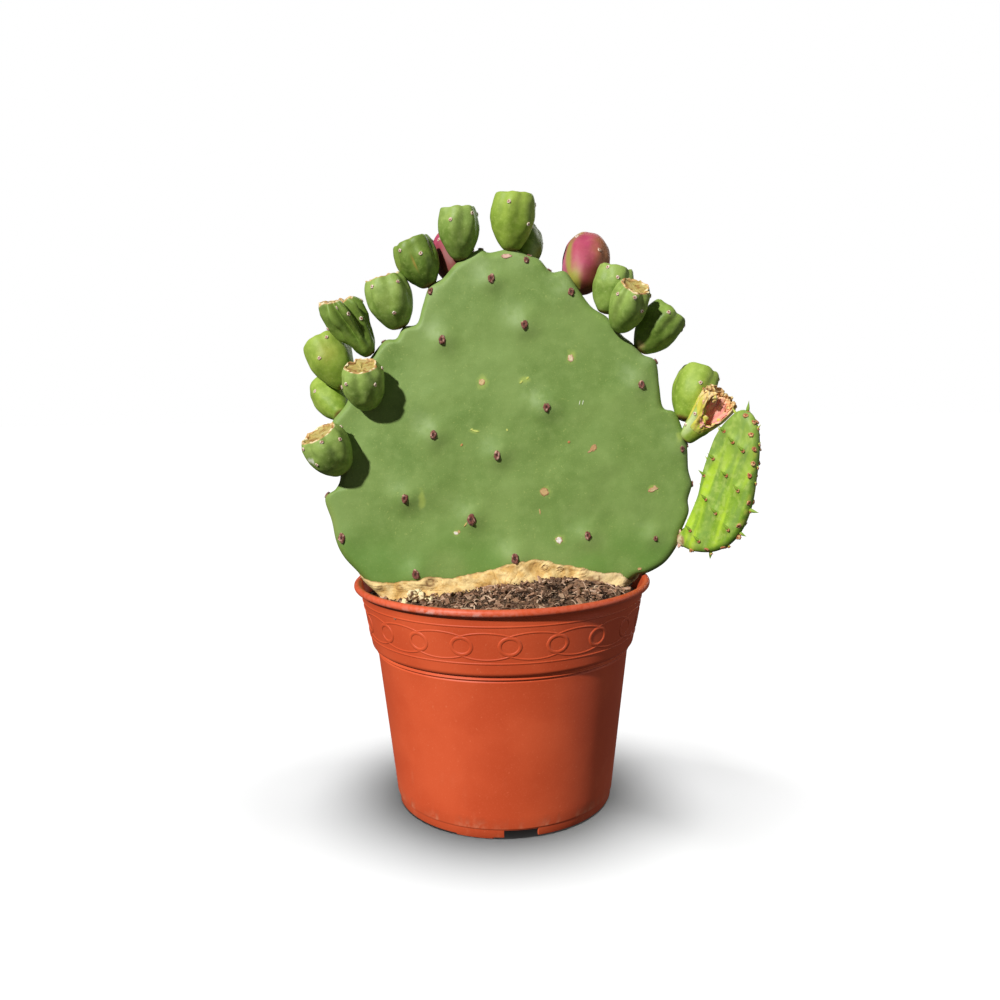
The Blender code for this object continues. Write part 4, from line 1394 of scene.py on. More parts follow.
@dataclass
class WoolTuft:
    """One areole: a lumpy cushion with a sunk dark centre and a crown of short bristles."""

    ring: Shade = (122, 68, 56)
    core: Shade = (58, 30, 26)
    pale: Shade = (214, 172, 150)
    bristles: int = 34
    flatness: float = 0.55
    bristle: Pair = (0.11, 0.15)

    def grow(self, form: Form, place: Array, normal: Array, size: float, seed: int,
             choice: int = 1, pale_share: float = 0.45, tall: float = 1.0) -> None:
        """Grow the areole on a skin.

        Args:
            form: The form that it joins.
            place: Where it stands.
            normal: The way it faces.
            size: Its radius.
            seed: Choice of its pattern.
            choice: Number of its finish.
            pale_share: Share of its wool that is pale.
            tall: How much taller than wide it is.
        """
        draw = np.random.default_rng(seed)
        side = unit(np.cross((0.0, 0.0, 1.0), normal) + (1e-6, 0.0, 0.0))
        axes = np.stack((side, np.cross(normal, side), normal), -1) * (1 / tall, tall, 1.0)
        points, faces = dome(20, 7)
        reach = np.hypot(points[:, 0], points[:, 1])
        dent = 0.75 * np.exp(-(reach / 0.42) ** 2)
        points = points * (1.0 + 0.28 * lumps(points, 0.5, seed, 2))[:, None]
        points[:, 2] = np.where(points[:, 2] > 0.0, points[:, 2] * (1.0 - dent), points[:, 2])
        tufts = eased(lumps(points, 0.45, seed + 3), 0.5 - pale_share, 0.9 - pale_share)
        stain = painted(points, (1.0, self.ring), (tufts * eased(reach, 0.35, 0.6), self.pale),
                        (0.9 * (1.0 - eased(reach, 0.22, 0.5)), self.core))
        form.add((points * size * (1.0, 1.0, self.flatness)) @ axes.T + place, faces, choice, stain)
        turns = np.arange(self.bristles) * GOLDEN_ANGLE
        out = np.stack((np.cos(turns), np.sin(turns), np.zeros(self.bristles)), -1)
        root = out * (size * draw.uniform(0.2, 0.95, self.bristles))[:, None]
        lean = unit(out * draw.uniform(0.1, 1.0, self.bristles)[:, None]
                    + draw.normal(0.0, 0.25, (self.bristles, 3)) + (0.0, 0.0, 0.85))
        spike = np.array(((1.0, 0.0, -1.5), (-0.5, 0.87, -1.5), (-0.5, -0.87, -1.5),
                          (0.0, 0.0, 9.0)))
        long = draw.uniform(0.55, 1.0, self.bristles) * self.bristle[1] * size ** 0.5
        thin = np.full(self.bristles, self.bristle[0])
        scale = np.stack((thin, thin, long), -1)[:, None, :]
        frames = axes[None] @ (frames_on(lean, turns) * scale)
        colour = np.where(draw.random((self.bristles, 1)) < pale_share, tint(*self.pale),
                          tint(*self.ring))
        stain = np.concatenate((colour, np.ones((self.bristles, 1))), -1)
        form.stamp(spike, np.array(((0, 1, 2), (0, 1, 3), (1, 2, 3), (2, 0, 3))), frames,
                   root @ axes.T + place, choice, stain)


RUSTY_WOOL = WoolTuft((188, 108, 62), (120, 48, 36), (228, 190, 130), 14)
COLLAR_WOOL = WoolTuft((214, 160, 138), (226, 180, 150), (246, 222, 200), 10)
FRUIT_WOOL = WoolTuft((206, 164, 136), (140, 52, 44), (252, 240, 224), 12)


# ---- the old paddle


@dataclass
class OldPaddle:
    """The big paddle with its areoles and scars, on its corky foot."""

    slab: Slab = field(default_factory=lambda: Slab(
        edge=(
            (-87, 143), (-98, 155.5), (-108, 167), (-113, 178), (-115.5, 192), (-119.5, 207.5),
            (-112, 214), (-108.5, 222), (-109, 237), (-113.5, 249), (-113, 259), (-103, 271),
            (-98, 284), (-87, 300), (-76, 312.5), (-68, 314), (-63, 321.5), (-54, 323.5),
            (-50, 335), (-45, 348), (-36, 353), (-27, 362.5), (-12, 371), (-5, 369), (9, 371),
            (21, 366.5), (28, 364), (35.5, 356), (45, 356), (53, 345), (62, 333), (72, 326.5),
            (78, 319.8), (83, 313.6), (89, 309), (96.3, 301.2), (105, 296.5), (107.5, 280),
            (110, 266), (118, 262.5), (123, 252), (126.5, 240), (127.5, 224), (130, 213.5),
            (127.5, 203), (128, 194), (122.5, 180), (120, 171), (112, 160), (101, 153.3),
            (93, 151.6), (86, 146), (78, 134), (40, 124), (0, 120), (-40, 124), (-76, 133)),
        centre=(4.0, 245.0), reach=122.0, edge_round=6.0, crown=4.0, columns=480, rings=76,
        swell=(0.3, 200.0, 60.0), fade=24.0))
    areoles: tuple[Triple, ...] = (
        (-4, 351, 2.6), (19, 363, 2.2), (-44, 344, 2.2), (48, 342, 2.4), (17, 321, 2.6),
        (-37, 312, 2.6), (94, 281, 2.6), (31, 267, 2.6), (-44, 250, 2.6), (-2, 236, 2.6),
        (-64, 208, 2.8), (-20, 193, 3.3), (9, 166, 3.0), (-58, 156, 3.0), (58, 181, 2.6),
        (104, 178, 1.7), (-108, 181, 3.0), (103, 296, 2.2), (122, 238, 2.0))
    rim_areoles: tuple[Triple, ...] = (
        (-117, 209, 2.4), (-76, 312, 1.8), (-45, 347, 1.8), (-11, 370.5, 1.8), (21, 366, 2.0),
        (34, 357, 2.0), (104.5, 296, 2.2), (126.5, 240, 1.8), (129.5, 213, 2.2))
    scars: tuple[tuple[float, float, float, float, float, Shade, Shade], ...] = (
        (62.6, 239.7, 2.3, 2.0, 30, (206, 160, 112), (176, 128, 88)),
        (60.2, 237.6, 2.0, 0.7, 35, (206, 164, 116), (176, 128, 88)),
        (29.7, 210.7, 2.9, 2.8, 0, (214, 176, 120), (160, 112, 72)),
        (102.1, 211.0, 3.4, 1.5, 12, (220, 186, 142), (190, 130, 90)),
        (103.6, 212.2, 1.2, 1.6, 0, (220, 186, 142), (190, 130, 90)),
        (38.9, 178.0, 2.4, 2.4, 0, (246, 240, 228), (196, 150, 104)),
        (-30.6, 183.6, 1.5, 1.3, 0, (244, 238, 226), (208, 196, 140)),
        (-28.4, 184.4, 0.9, 1.2, 0, (214, 176, 120), (176, 128, 88)),
        (-23.6, 189.8, 1.9, 0.5, 50, (214, 182, 112), (206, 180, 100)),
        (26.3, 197.2, 0.5, 2.1, 8, (214, 176, 118), (190, 160, 96)),
        (-16.4, 252.1, 2.9, 0.6, -14, (222, 226, 124), (190, 206, 96)),
        (-18.6, 253.2, 0.9, 0.6, 20, (222, 226, 124), (190, 206, 96)),
        (4.9, 252.5, 0.7, 1.0, 20, (214, 220, 116), (180, 196, 92)),
        (53.2, 269.6, 0.25, 1.6, -14, (224, 232, 200), (226, 232, 206)),
        (55.4, 269.9, 0.25, 1.4, -14, (224, 232, 200), (226, 232, 206)),
        (46.0, 243.9, 0.9, 0.8, 0, (206, 130, 74), (190, 120, 70)),
        (-11.2, 284.3, 1.9, 2.1, 20, (226, 196, 142), (186, 140, 92)),
        (47.6, 299.1, 1.9, 2.4, 0, (238, 214, 178), (200, 150, 110)),
        (14.6, 284.0, 1.6, 0.7, 38, (206, 214, 104), (178, 196, 90)),
        (19.0, 286.6, 1.5, 0.6, 38, (206, 214, 104), (178, 196, 90)),
        (5.6, 365.8, 3.4, 1.4, 0, (226, 186, 166), (160, 96, 80)),
        (-25.5, 243.0, 0.6, 1.3, -40, (206, 150, 84), (190, 130, 70)),
        (93.6, 157.0, 1.3, 1.0, 0, (212, 168, 116), (170, 120, 80)))
    halos: tuple[tuple[float, ...], ...] = (
        (-11.2, 284.3, 5.5, 6.0), (47.6, 299.1, 5.5, 6.5), (29.7, 210.7, 5.2, 5.0),
        (38.9, 178.0, 4.6, 4.6), (17.0, 285.2, 5.5, 3.5), (-16.4, 252.1, 4.5, 2.5),
        (102.0, 212.0, 5.0, 3.5), (-53.0, 206.0, 3.5, 9.0), (-30.0, 184.0, 4.0, 3.0),
        (120.0, 246.0, 3.0, 5.0))
    back_shift: Pair = (8.0, 5.0)
    mound: Pair = (16.0, 2.9)
    tuck: float = 2.4
    halo: Shade = (188, 206, 100)
    # Colour of the painted highlight on the upper-left of each areole's mound.
    mound_highlight: Shade = (184, 204, 150)

    def marks(self, side: float, marks: Sequence[Sequence[float]]) -> Sequence[Sequence[float]]:
        """Give the marks of one side; on the back they differ a little from a mirror."""
        right, up = self.back_shift
        return marks if side < 0.0 else [(right - mark[0], mark[1] + up, *mark[2:])
                                         for mark in marks]

    def relief(self, x: Array, z: Array, side: float) -> Array:
        """Raise broad mounds under the areoles, and broad and fine waves.

        Args:
            x: Places across.
            z: Heights.
            side: -1 for the front and 1 for the back.

        Returns:
            How far the skin stands out.
        """
        flat = np.stack((x, z), -1)
        high = bumps(x, z, self.marks(side, self.areoles), *self.mound)
        high += 1.5 * lumps(flat, 40.0, 3 + int(side), 2) + 0.35 * lumps(flat, 14.0, 9, 2)
        return (high - 0.3) * self.slab.fading(x, z)

    def stain(self, points: Array) -> Array:
        """Paint the halos of the scars, painted highlights on the areoles' mounds and the yellowed
        margins.

        Args:
            points: Points of the skin.

        Returns:
            The stain of each point.
        """
        x, y, z = points.T
        wobble = lumps(points, 3.0, 21, 2)
        edge = eased(self.slab.share(x, z), 0.95, 1.0)
        stain = painted(
            points, (0.35 * edge * eased(z, 230.0, 170.0), (156, 150, 62)),
            (0.5 * eased(z, 200.0, 165.0) * eased(lumps(points, 24.0, 8), -0.7, 0.3),
             (94, 138, 50)))
        for side in (-1.0, 1.0):
            here = (y * side > 0.5)
            for at_x, at_z, wide, high in self.marks(side, self.halos):
                away = np.hypot((x - at_x) / wide, (z - at_z) / high)
                lay_stain(stain, 0.6 * (1.0 - eased(away + 0.3 * wobble, 0.2, 0.95)) * here,
                          self.halo)
            # Painted highlight: a pale streak on the upper-left side of each areole's mound, on
            # both faces.
            for at_x, at_z, _size in self.marks(side, self.areoles):
                slant_x, slant_z = x - at_x + 6.0, z - at_z - 6.0
                along, across = slant_z - slant_x * 0.9, slant_x + slant_z * 0.9
                highlight_streak = np.exp(-(across / 9.0) ** 2 - (along / 14.0) ** 2)
                share = (0.26 if at_z > 240.0 else 0.1) * eased(wobble, -1.2, 0.6)
                lay_stain(stain, share * highlight_streak * here, self.mound_highlight)
        return stain

    def paddle_mesh(self) -> bpy.types.Object:
        """Shape the paddle, which sinks a little where the cork laps over it.

        Returns:
            The paddle.
        """
        points, faces = self.slab.sheets(lambda x, z, side: self.relief(x, z, side)
                                         - self.tuck * eased(under_cork(x, z), 0.6, 3.0))
        form = Form()
        tone = 0.25 + 0.4 * lumps(points, 26.0, 12, 3)
        form.add(points, faces, 0, self.stain(points), np.clip(tone, 0.0, 0.7))
        return form.solid("old_paddle", [Skin.OLD])

    def add_scars(self, form: Form) -> None:
        """Raise the corky scars on both faces.

        Args:
            form: The form that they join.
        """
        for side in (-1.0, 1.0):
            for index, scar in enumerate(self.marks(side, self.scars)):
                x, z, wide, high, turn, colour, border = scar
                if self.slab.share(x, z) > 0.975:
                    continue
                place, normal = self.slab.on_skin(x, z, side, self.relief)
                points, faces = dome(40, 9)
                reach = np.hypot(points[:, 0], points[:, 1])
                ragged = 1.0 + 0.3 * lumps(points * (1.4, 1.4, 0.0), 1.0, index, 3)
                flat = points[:, :2] * (wide, high) * ragged[:, None]
                raised = points[:, 2] * 0.35 * (1.0 - 0.6 * np.exp(-(reach / 0.5) ** 2))
                right = unit(np.cross((0.0, 0.0, 1.0), normal))
                axes = np.stack((-right * side, np.cross(normal, right), normal), -1)
                turned = np.concatenate((flat, raised[:, None]), -1) @ upright_turn(turn).T
                ring = eased(reach + 0.3 * lumps(points, 0.4, index), 0.62, 0.9)
                form.add(turned @ axes.T + place + normal * 0.02, faces, 0,
                         painted(points, (1.0, colour), (0.9 * ring, border)))

    def areole_mesh(self) -> bpy.types.Object:
        """Grow the areoles on both faces and along the rim.

        Returns:
            The areoles and the scars.
        """
        form, tuft, seeds = Form(), WoolTuft(), itertools.count(100)
        for side in (-1.0, 1.0):
            for x, z, size in self.marks(side, self.areoles):
                if self.slab.share(x, z) > 0.97 or z < 150.0:
                    continue
                place, normal = self.slab.on_skin(x, z, side, self.relief)
                tuft.grow(form, place, unit(normal + (0.0, 0.0, 0.2)), size * 0.98, next(seeds), 0,
                          0.26, 1.18)
        for x, z, size in self.rim_areoles:
            tuft.grow(form, *self.slab.on_rim(x, z), size, next(seeds), 0, 0.25)
        self.add_scars(form)
        return form.solid("paddle_areoles", [Skin.WOOL])

    def build(self) -> None:
        """Build the paddle and its areoles."""
        show(self.paddle_mesh(), "main_paddle")
        show(self.areole_mesh())


CORK_LINE: tuple[Pair, ...] = (
    (-110, 152.5), (-92, 152), (-78, 150.5), (-62, 151.3), (-50, 153.5), (-38, 152),
    (-27, 154.6), (-6, 157.7), (7, 163), (20, 164.2), (32, 164.3), (40, 161), (55, 159),
    (69, 154.2), (80, 154.4), (87, 149), (93, 145))


def under_cork(x: Array, z: Array) -> Array:
    """Give how far places lie under the cork's uneven line."""
    ragged = 1.2 * lumps(np.stack((x, z), -1), 5.0, 31, 3)
    return looked_up(CORK_LINE, x) + ragged - z


@dataclass
class CorkFoot:
    """The woody foot of the old paddle, which laps over the green at an uneven line."""

    paddle: OldPaddle
    slab: Slab = field(default_factory=lambda: Slab(
        edge=(
            (-99.5, 166), (-84, 184), (0, 192), (84, 182), (95, 160), (94, 150.5), (87, 144),
            (79, 133.5), (66, 122.5), (46, 110), (24, 103), (0, 101), (-24, 103), (-48, 111),
            (-66, 122.5), (-77.5, 133), (-88, 143), (-97, 153)),
        centre=(0.0, 140.0), reach=70.0, edge_round=7.0, crown=6.5, columns=600, rings=60,
        fade=3.0))
    rings: tuple[Triple, ...] = (
        (-83, 146.7, 2.3), (-69.6, 146.8, 2.7), (-48.6, 150.0, 4.0), (54.8, 156.0, 2.7),
        (39.3, 158.5, 2.0), (29.2, 159.5, 2.7))

    def depth(self, x: Array, z: Array, side: float) -> Array:
        """Shape the cork, which thins out above the line until it is hidden.

        Args:
            x: Places across.
            z: Heights.
            side: -1 for the front and 1 for the back.

        Returns:
            Half the thickness.
        """
        inner = self.paddle.slab.half(x, z) + self.paddle.relief(x, z, side)
        under, flat = under_cork(x, z), np.stack((x, z), -1)
        lap = 0.9 * eased(under, -1.0, 1.0) - 2.6 * eased(under, 0.6, -2.4)
        body = inner + lap + np.maximum(self.slab.half(x, z) - inner, 0.0) * 0.8 \
            * eased(under, 1.0, 22.0)
        rough = 1.3 * lumps(flat, 8.0, 17 + int(side), 3) \
            - 0.4 * eased(np.abs(lumps(flat, 7.0, 23, 2)), 0.14, 0.0)
        rough *= eased(under, -0.5, 3.5)
        for mark_x, mark_z, size in self.rings:
            away = np.hypot(x - mark_x, z - mark_z) / size
            rough += 0.9 * (1.0 - eased(away, 0.85, 1.25)) \
                - 0.7 * np.exp(-((away - 0.6) / 0.16) ** 2)
        return np.maximum(body + rough, 0.2)

    def cork_mesh(self) -> bpy.types.Object:
        """Shape the cork and paint its rings, its worn end and a painted shadow line along its
        upper edge.

        Returns:
            The cork.
        """
        points, faces = self.slab.sheets(
            lambda x, z, side: self.slab.fading(x, z)
            * (self.depth(x, z, side) - self.slab.half(x, z)))
        x, z = points[:, 0], points[:, 2]
        spots, worn = lumps(points, 3.4, 43, 2), eased(x, 50.0, 64.0)
        stain = painted(
            points, (0.5 * worn, (248, 226, 184)),
            (0.8 * worn * eased(spots, 0.35, 0.6), (150, 106, 66)),
            (0.6 * eased(lumps(points, 7.0, 41, 2), 0.25, 0.6), (252, 224, 160)),
            (0.35 * eased(spots, -0.35, -0.7), (160, 116, 66)),
            # Painted shadow: a dark brown line along the cork's upper edge.
            (0.8 * np.exp(-((under_cork(x, z) + 0.2) / 0.6) ** 2), (122, 80, 46)))
        for mark_x, mark_z, size in self.rings:
            away = np.hypot(x - mark_x, z - mark_z) / size
            lay_stain(stain, 0.8 * np.exp(-((away - 0.6) / 0.2) ** 2), (128, 82, 46))
        form = Form()
        form.add(points, faces, 0, stain)
        return form.solid("cork_foot", [Skin.CORK])

    def build(self) -> None:
        """Build the cork."""
        show(self.cork_mesh(), "corky_base")


# ---- the young paddle


@dataclass
class YoungPaddle:
    """The young side paddle with its pointed leaves, turned towards the front."""

    joint: Triple = (122.5, -2.5, 176.0)
    turn: float = -45.0
    slab: Slab = field(default_factory=lambda: Slab(
        edge=(
            (-3.0, 0.5), (2, 5.5), (7, 15), (14, 31), (17.5, 47), (22, 60), (27, 72), (34, 81),
            (43, 87.5), (50.5, 86), (55.5, 77), (56.5, 62), (55, 46), (52.3, 28), (46.5, 12),
            (38, 1), (26, -5.5), (12, -7), (3, -5), (-2.5, -3)),
        centre=(34.0, 36.0), reach=34.0, edge_round=4.0, crown=1.6, columns=220, rings=34))
    face_leaves: tuple[Pair, ...] = (
        (41.5, 68.2), (48.5, 62.9), (27.5, 57.3), (37.3, 46.8), (45.5, 37.7), (22.7, 30.4),
        (30.1, 22.1), (38.9, 12.0), (10.7, 8.7), (17.1, 2.2), (34.5, 75.0), (20.5, 46.0))
    rim_spots: tuple[Pair, ...] = (
        (48.3, 82.7), (53.2, 78.6), (52.6, 71.0), (54.2, 62.1), (53.6, 53.3), (51.4, 45.9),
        (50.3, 29.8), (45.0, 15.7), (43.0, 7.5), (33.5, 0.0), (22.9, -2.3), (11.0, -4.4))
    rim_leaves: tuple[Triple, ...] = (
        (48.3, 86.5, 6.2), (40.0, 86.0, 4.4), (55.5, 76.0, 3.2), (56.0, 66.0, 2.4),
        (51.4, 24.0, 7.4), (44.6, 8.4, 5.8), (23.5, -5.8, 6.4), (36.5, -0.5, 3.4),
        (8.0, -6.4, 3.0), (28.4, 75.8, 2.8), (20.1, 55.2, 3.2), (15.5, 38.0, 2.6),
        (11.3, 24.9, 2.2), (6.1, 13.5, 2.4), (56.2, 52.0, 2.0), (54.8, 42.0, 2.2))
    collar: tuple[Triple, ...] = ((-1.5, 3.0, 2.0), (-2.5, -1.0, 2.2), (0.5, 6.0, 1.5),
                                  (0.0, -4.0, 1.7))
    leaf_length: float = 6.4
    back_shift: float = 2.5
    mound: Pair = (6.5, 1.1)

    def placed(self, points: Array) -> Array:
        """Put points of the paddle's own frame in place."""
        return points @ upright_turn(self.turn).T + self.joint

    def relief(self, x: Array, z: Array, side: float) -> Array:
        """Raise a low bump under each leaf, and broad and fine waves.

        Args:
            x: Places across.
            z: Heights.
            side: -1 for the front and 1 for the back.

        Returns:
            How far the skin stands out.
        """
        flat = np.stack((x, z), -1)
        high = bumps(x, z, self.face_leaves, *self.mound)
        high += 0.35 * lumps(flat, 14.0, 5 + int(side), 2) + 0.12 * lumps(flat, 4.0, 6)
        return high * self.slab.fading(x, z)

    def body_mesh(self) -> bpy.types.Object:
        """Shape the young paddle and paint its streaks, and painted shade with painted yellow
        highlights along its right rim.

        Returns:
            The paddle's body.
        """
        points, faces = self.slab.sheets(self.relief)
        x, y, z = points.T
        sheared = np.stack((x - 0.34 * z, y * 0.2, z * 0.16), -1)
        streaks, broad = lumps(sheared, 4.2, 51, 3), lumps(sheared, 8.5, 57, 3)
        top = eased(z + 0.5 * x, 40.0, 100.0)
        # Mask of the painted shade along the right rim, which faces away from the light.
        band = eased(self.slab.share(x, z), 0.88, 0.96) * eased(x - 0.25 * z, 8.0, 24.0) \
            * eased(z, 80.0, 62.0)
        away = np.hypot(x, z)
        stain = painted(
            points, (0.85 * top, (120, 148, 74)),
            (0.6 * eased(broad, -0.1, -0.7), (134, 164, 84)),
            (0.8 * eased(broad + 0.4 * streaks, 0.05, 0.6) * (1.0 - 0.75 * top), (192, 224, 60)),
            (0.55 * eased(streaks, -0.2, -0.7), (128, 160, 76)),
            (0.45 * eased(lumps(points, 2.6, 59, 3), 0.0, 0.6), (186, 206, 104)),
            # Painted shade on the right rim, then painted yellow highlights in patches over it.
            (0.7 * band, (104, 146, 42)),
            (0.7 * band * eased(lumps(points, 9.0, 55, 2), 0.15, 0.5), (196, 208, 84)),
            (0.9 * eased(away, 6.5, 3.0), (234, 210, 172)),
            (0.8 * eased(away, 6.5, 4.0) * eased(lumps(points, 2.2, 58, 2), 0.0, 0.4),
             (156, 102, 66)))
        form = Form()
        form.add(self.placed(points), faces, 0, stain)
        return form.solid("young_paddle_body", [Skin.YOUNG])

    def leaf(self, form: Form, place: Array, normal: Array, size: float, seed: int) -> None:
        """Grow one pointed leaf over a small tuft.

        Args:
            form: The leaves' form.
            place: Where it stands, in the paddle's own frame.
            normal: The way its skin faces.
            size: Its length.
            seed: Choice of its pattern.
        """
        draw = np.random.default_rng(seed)
        flat = abs(normal[1]) > 0.5
        lean = unit(normal * (0.8 if flat else 1.5) + np.array((-0.7, 0.0, 0.7 if flat else 0.35))
                    * (1.0 if flat else 0.6) + draw.normal(0.0, 0.12, 3))
        steps = np.linspace(0.0, 1.0, 7)
        thick = (0.34 + 0.13 * size) * np.array((0.8, 1.0, 0.95, 0.75, 0.48, 0.22, 0.03))
        frame_of = frames_on(lean[None], np.array((0.0,)))[0]
        turns = ring_turns(8)
        ring = np.stack(np.broadcast_arrays(thick[:, None] * np.cos(turns),
                                            thick[:, None] * np.sin(turns),
                                            (steps * size - 0.8)[:, None]), -1)
        points = ring @ frame_of.T + place + normal * 0.2
        points = points + (0.9 * (steps ** 2))[:, None, None] * np.array((0.0, 0.0, 1.0))
        caps = np.array((np.arange(8), np.arange(48, 56)))
        tip = 0.85 * eased(steps, 0.8, 1.0)[:, None]
        stain = painted(points, (tip, (190, 130, 66)),
                        (0.5, (206, 206, 96) if size < 5.0 else (120, 150, 50)))
        form.add(self.placed(points), [band_faces(7, 8), caps], 0, stain, 0.2)
        self.tuft(form, place - np.array((-0.4, 0.0, 0.8)) + normal * 0.15, normal,
                  0.75 + 0.08 * size, seed + 9)

    def tuft(self, form: Form, place: Array, normal: Array, size: float, seed: int,
             wool: WoolTuft = RUSTY_WOOL, pale_share: float = 0.4) -> None:
        """Grow one small tuft, given in the paddle's own frame."""
        wool.grow(form, self.placed(place), upright_turn(self.turn) @ normal, size, seed, 1,
                  pale_share)

    def leaf_mesh(self) -> bpy.types.Object:
        """Grow the leaves of both faces and the rim, and the collar at the joint.

        Returns:
            The leaves with their tufts.
        """
        form, seeds = Form(), itertools.count(500)
        for side in (-1.0, 1.0):
            for x, z in self.face_leaves:
                place, normal = self.slab.on_skin(x if side < 0.0 else x + self.back_shift, z, side,
                                                  self.relief)
                self.leaf(form, place, normal, self.leaf_length * 0.8, next(seeds))
        for x, z, size in self.rim_leaves:
            self.leaf(form, *self.slab.on_rim(x, z), size, next(seeds))
        for side in (-1.0, 1.0):
            for x, z in self.rim_spots:
                out = unit(np.array((x - self.slab.centre[0], 0.0, z - self.slab.centre[1])))
                place, normal = self.slab.on_skin(x + 1.7 * out[0], z + 1.7 * out[2], side)
                self.tuft(form, place, unit(normal + 0.8 * out), 1.65, next(seeds))
        for x, z, size in self.collar:
            for side in (-1.0, 1.0):
                self.tuft(form, np.array((x, side * 2.2, z)), unit(np.array((-0.6, side, 0.1))),
                          size, next(seeds), COLLAR_WOOL, 0.6)
        return form.solid("young_leaves", [Skin.YOUNG, Skin.WOOL])

    def build(self) -> None:
        """Build the young paddle and its leaves."""
        show(self.body_mesh(), "young_paddle")
        show(self.leaf_mesh())


# ---- the fruits


class Crown(Enum):
    """How a fruit ends: share of the length and of the half width at each step to its dish."""

    GREEN = ((0.0, 0.0), (0.03, 0.32), (0.14, 0.56), (0.34, 0.84), (0.58, 1.0), (0.8, 0.96),
             (0.94, 0.87), (0.985, 0.77), (0.975, 0.66), (0.94, 0.42), (0.92, 0.0))
    SCARRED = ((0.0, 0.0), (0.03, 0.34), (0.14, 0.6), (0.34, 0.87), (0.58, 1.0), (0.8, 0.96),
               (0.94, 0.84), (0.99, 0.76), (0.985, 0.68), (0.945, 0.58), (0.93, 0.0))
    KNOBBED = ((0.0, 0.0), (0.03, 0.3), (0.14, 0.5), (0.34, 0.74), (0.58, 0.92), (0.8, 1.0),
               (0.93, 0.92), (0.99, 0.78), (0.985, 0.7), (0.95, 0.58), (0.93, 0.0))
    RIPE = ((0.0, 0.0), (0.03, 0.4), (0.13, 0.66), (0.32, 0.9), (0.55, 1.0), (0.76, 0.95),
            (0.92, 0.72), (0.99, 0.42), (0.96, 0.28), (0.94, 0.0))
    OVARY = ((0.0, 0.0), (0.03, 0.34), (0.15, 0.5), (0.4, 0.68), (0.65, 0.84), (0.85, 0.96),
             (0.97, 1.0), (1.0, 0.9), (0.9, 0.72), (0.86, 0.0))


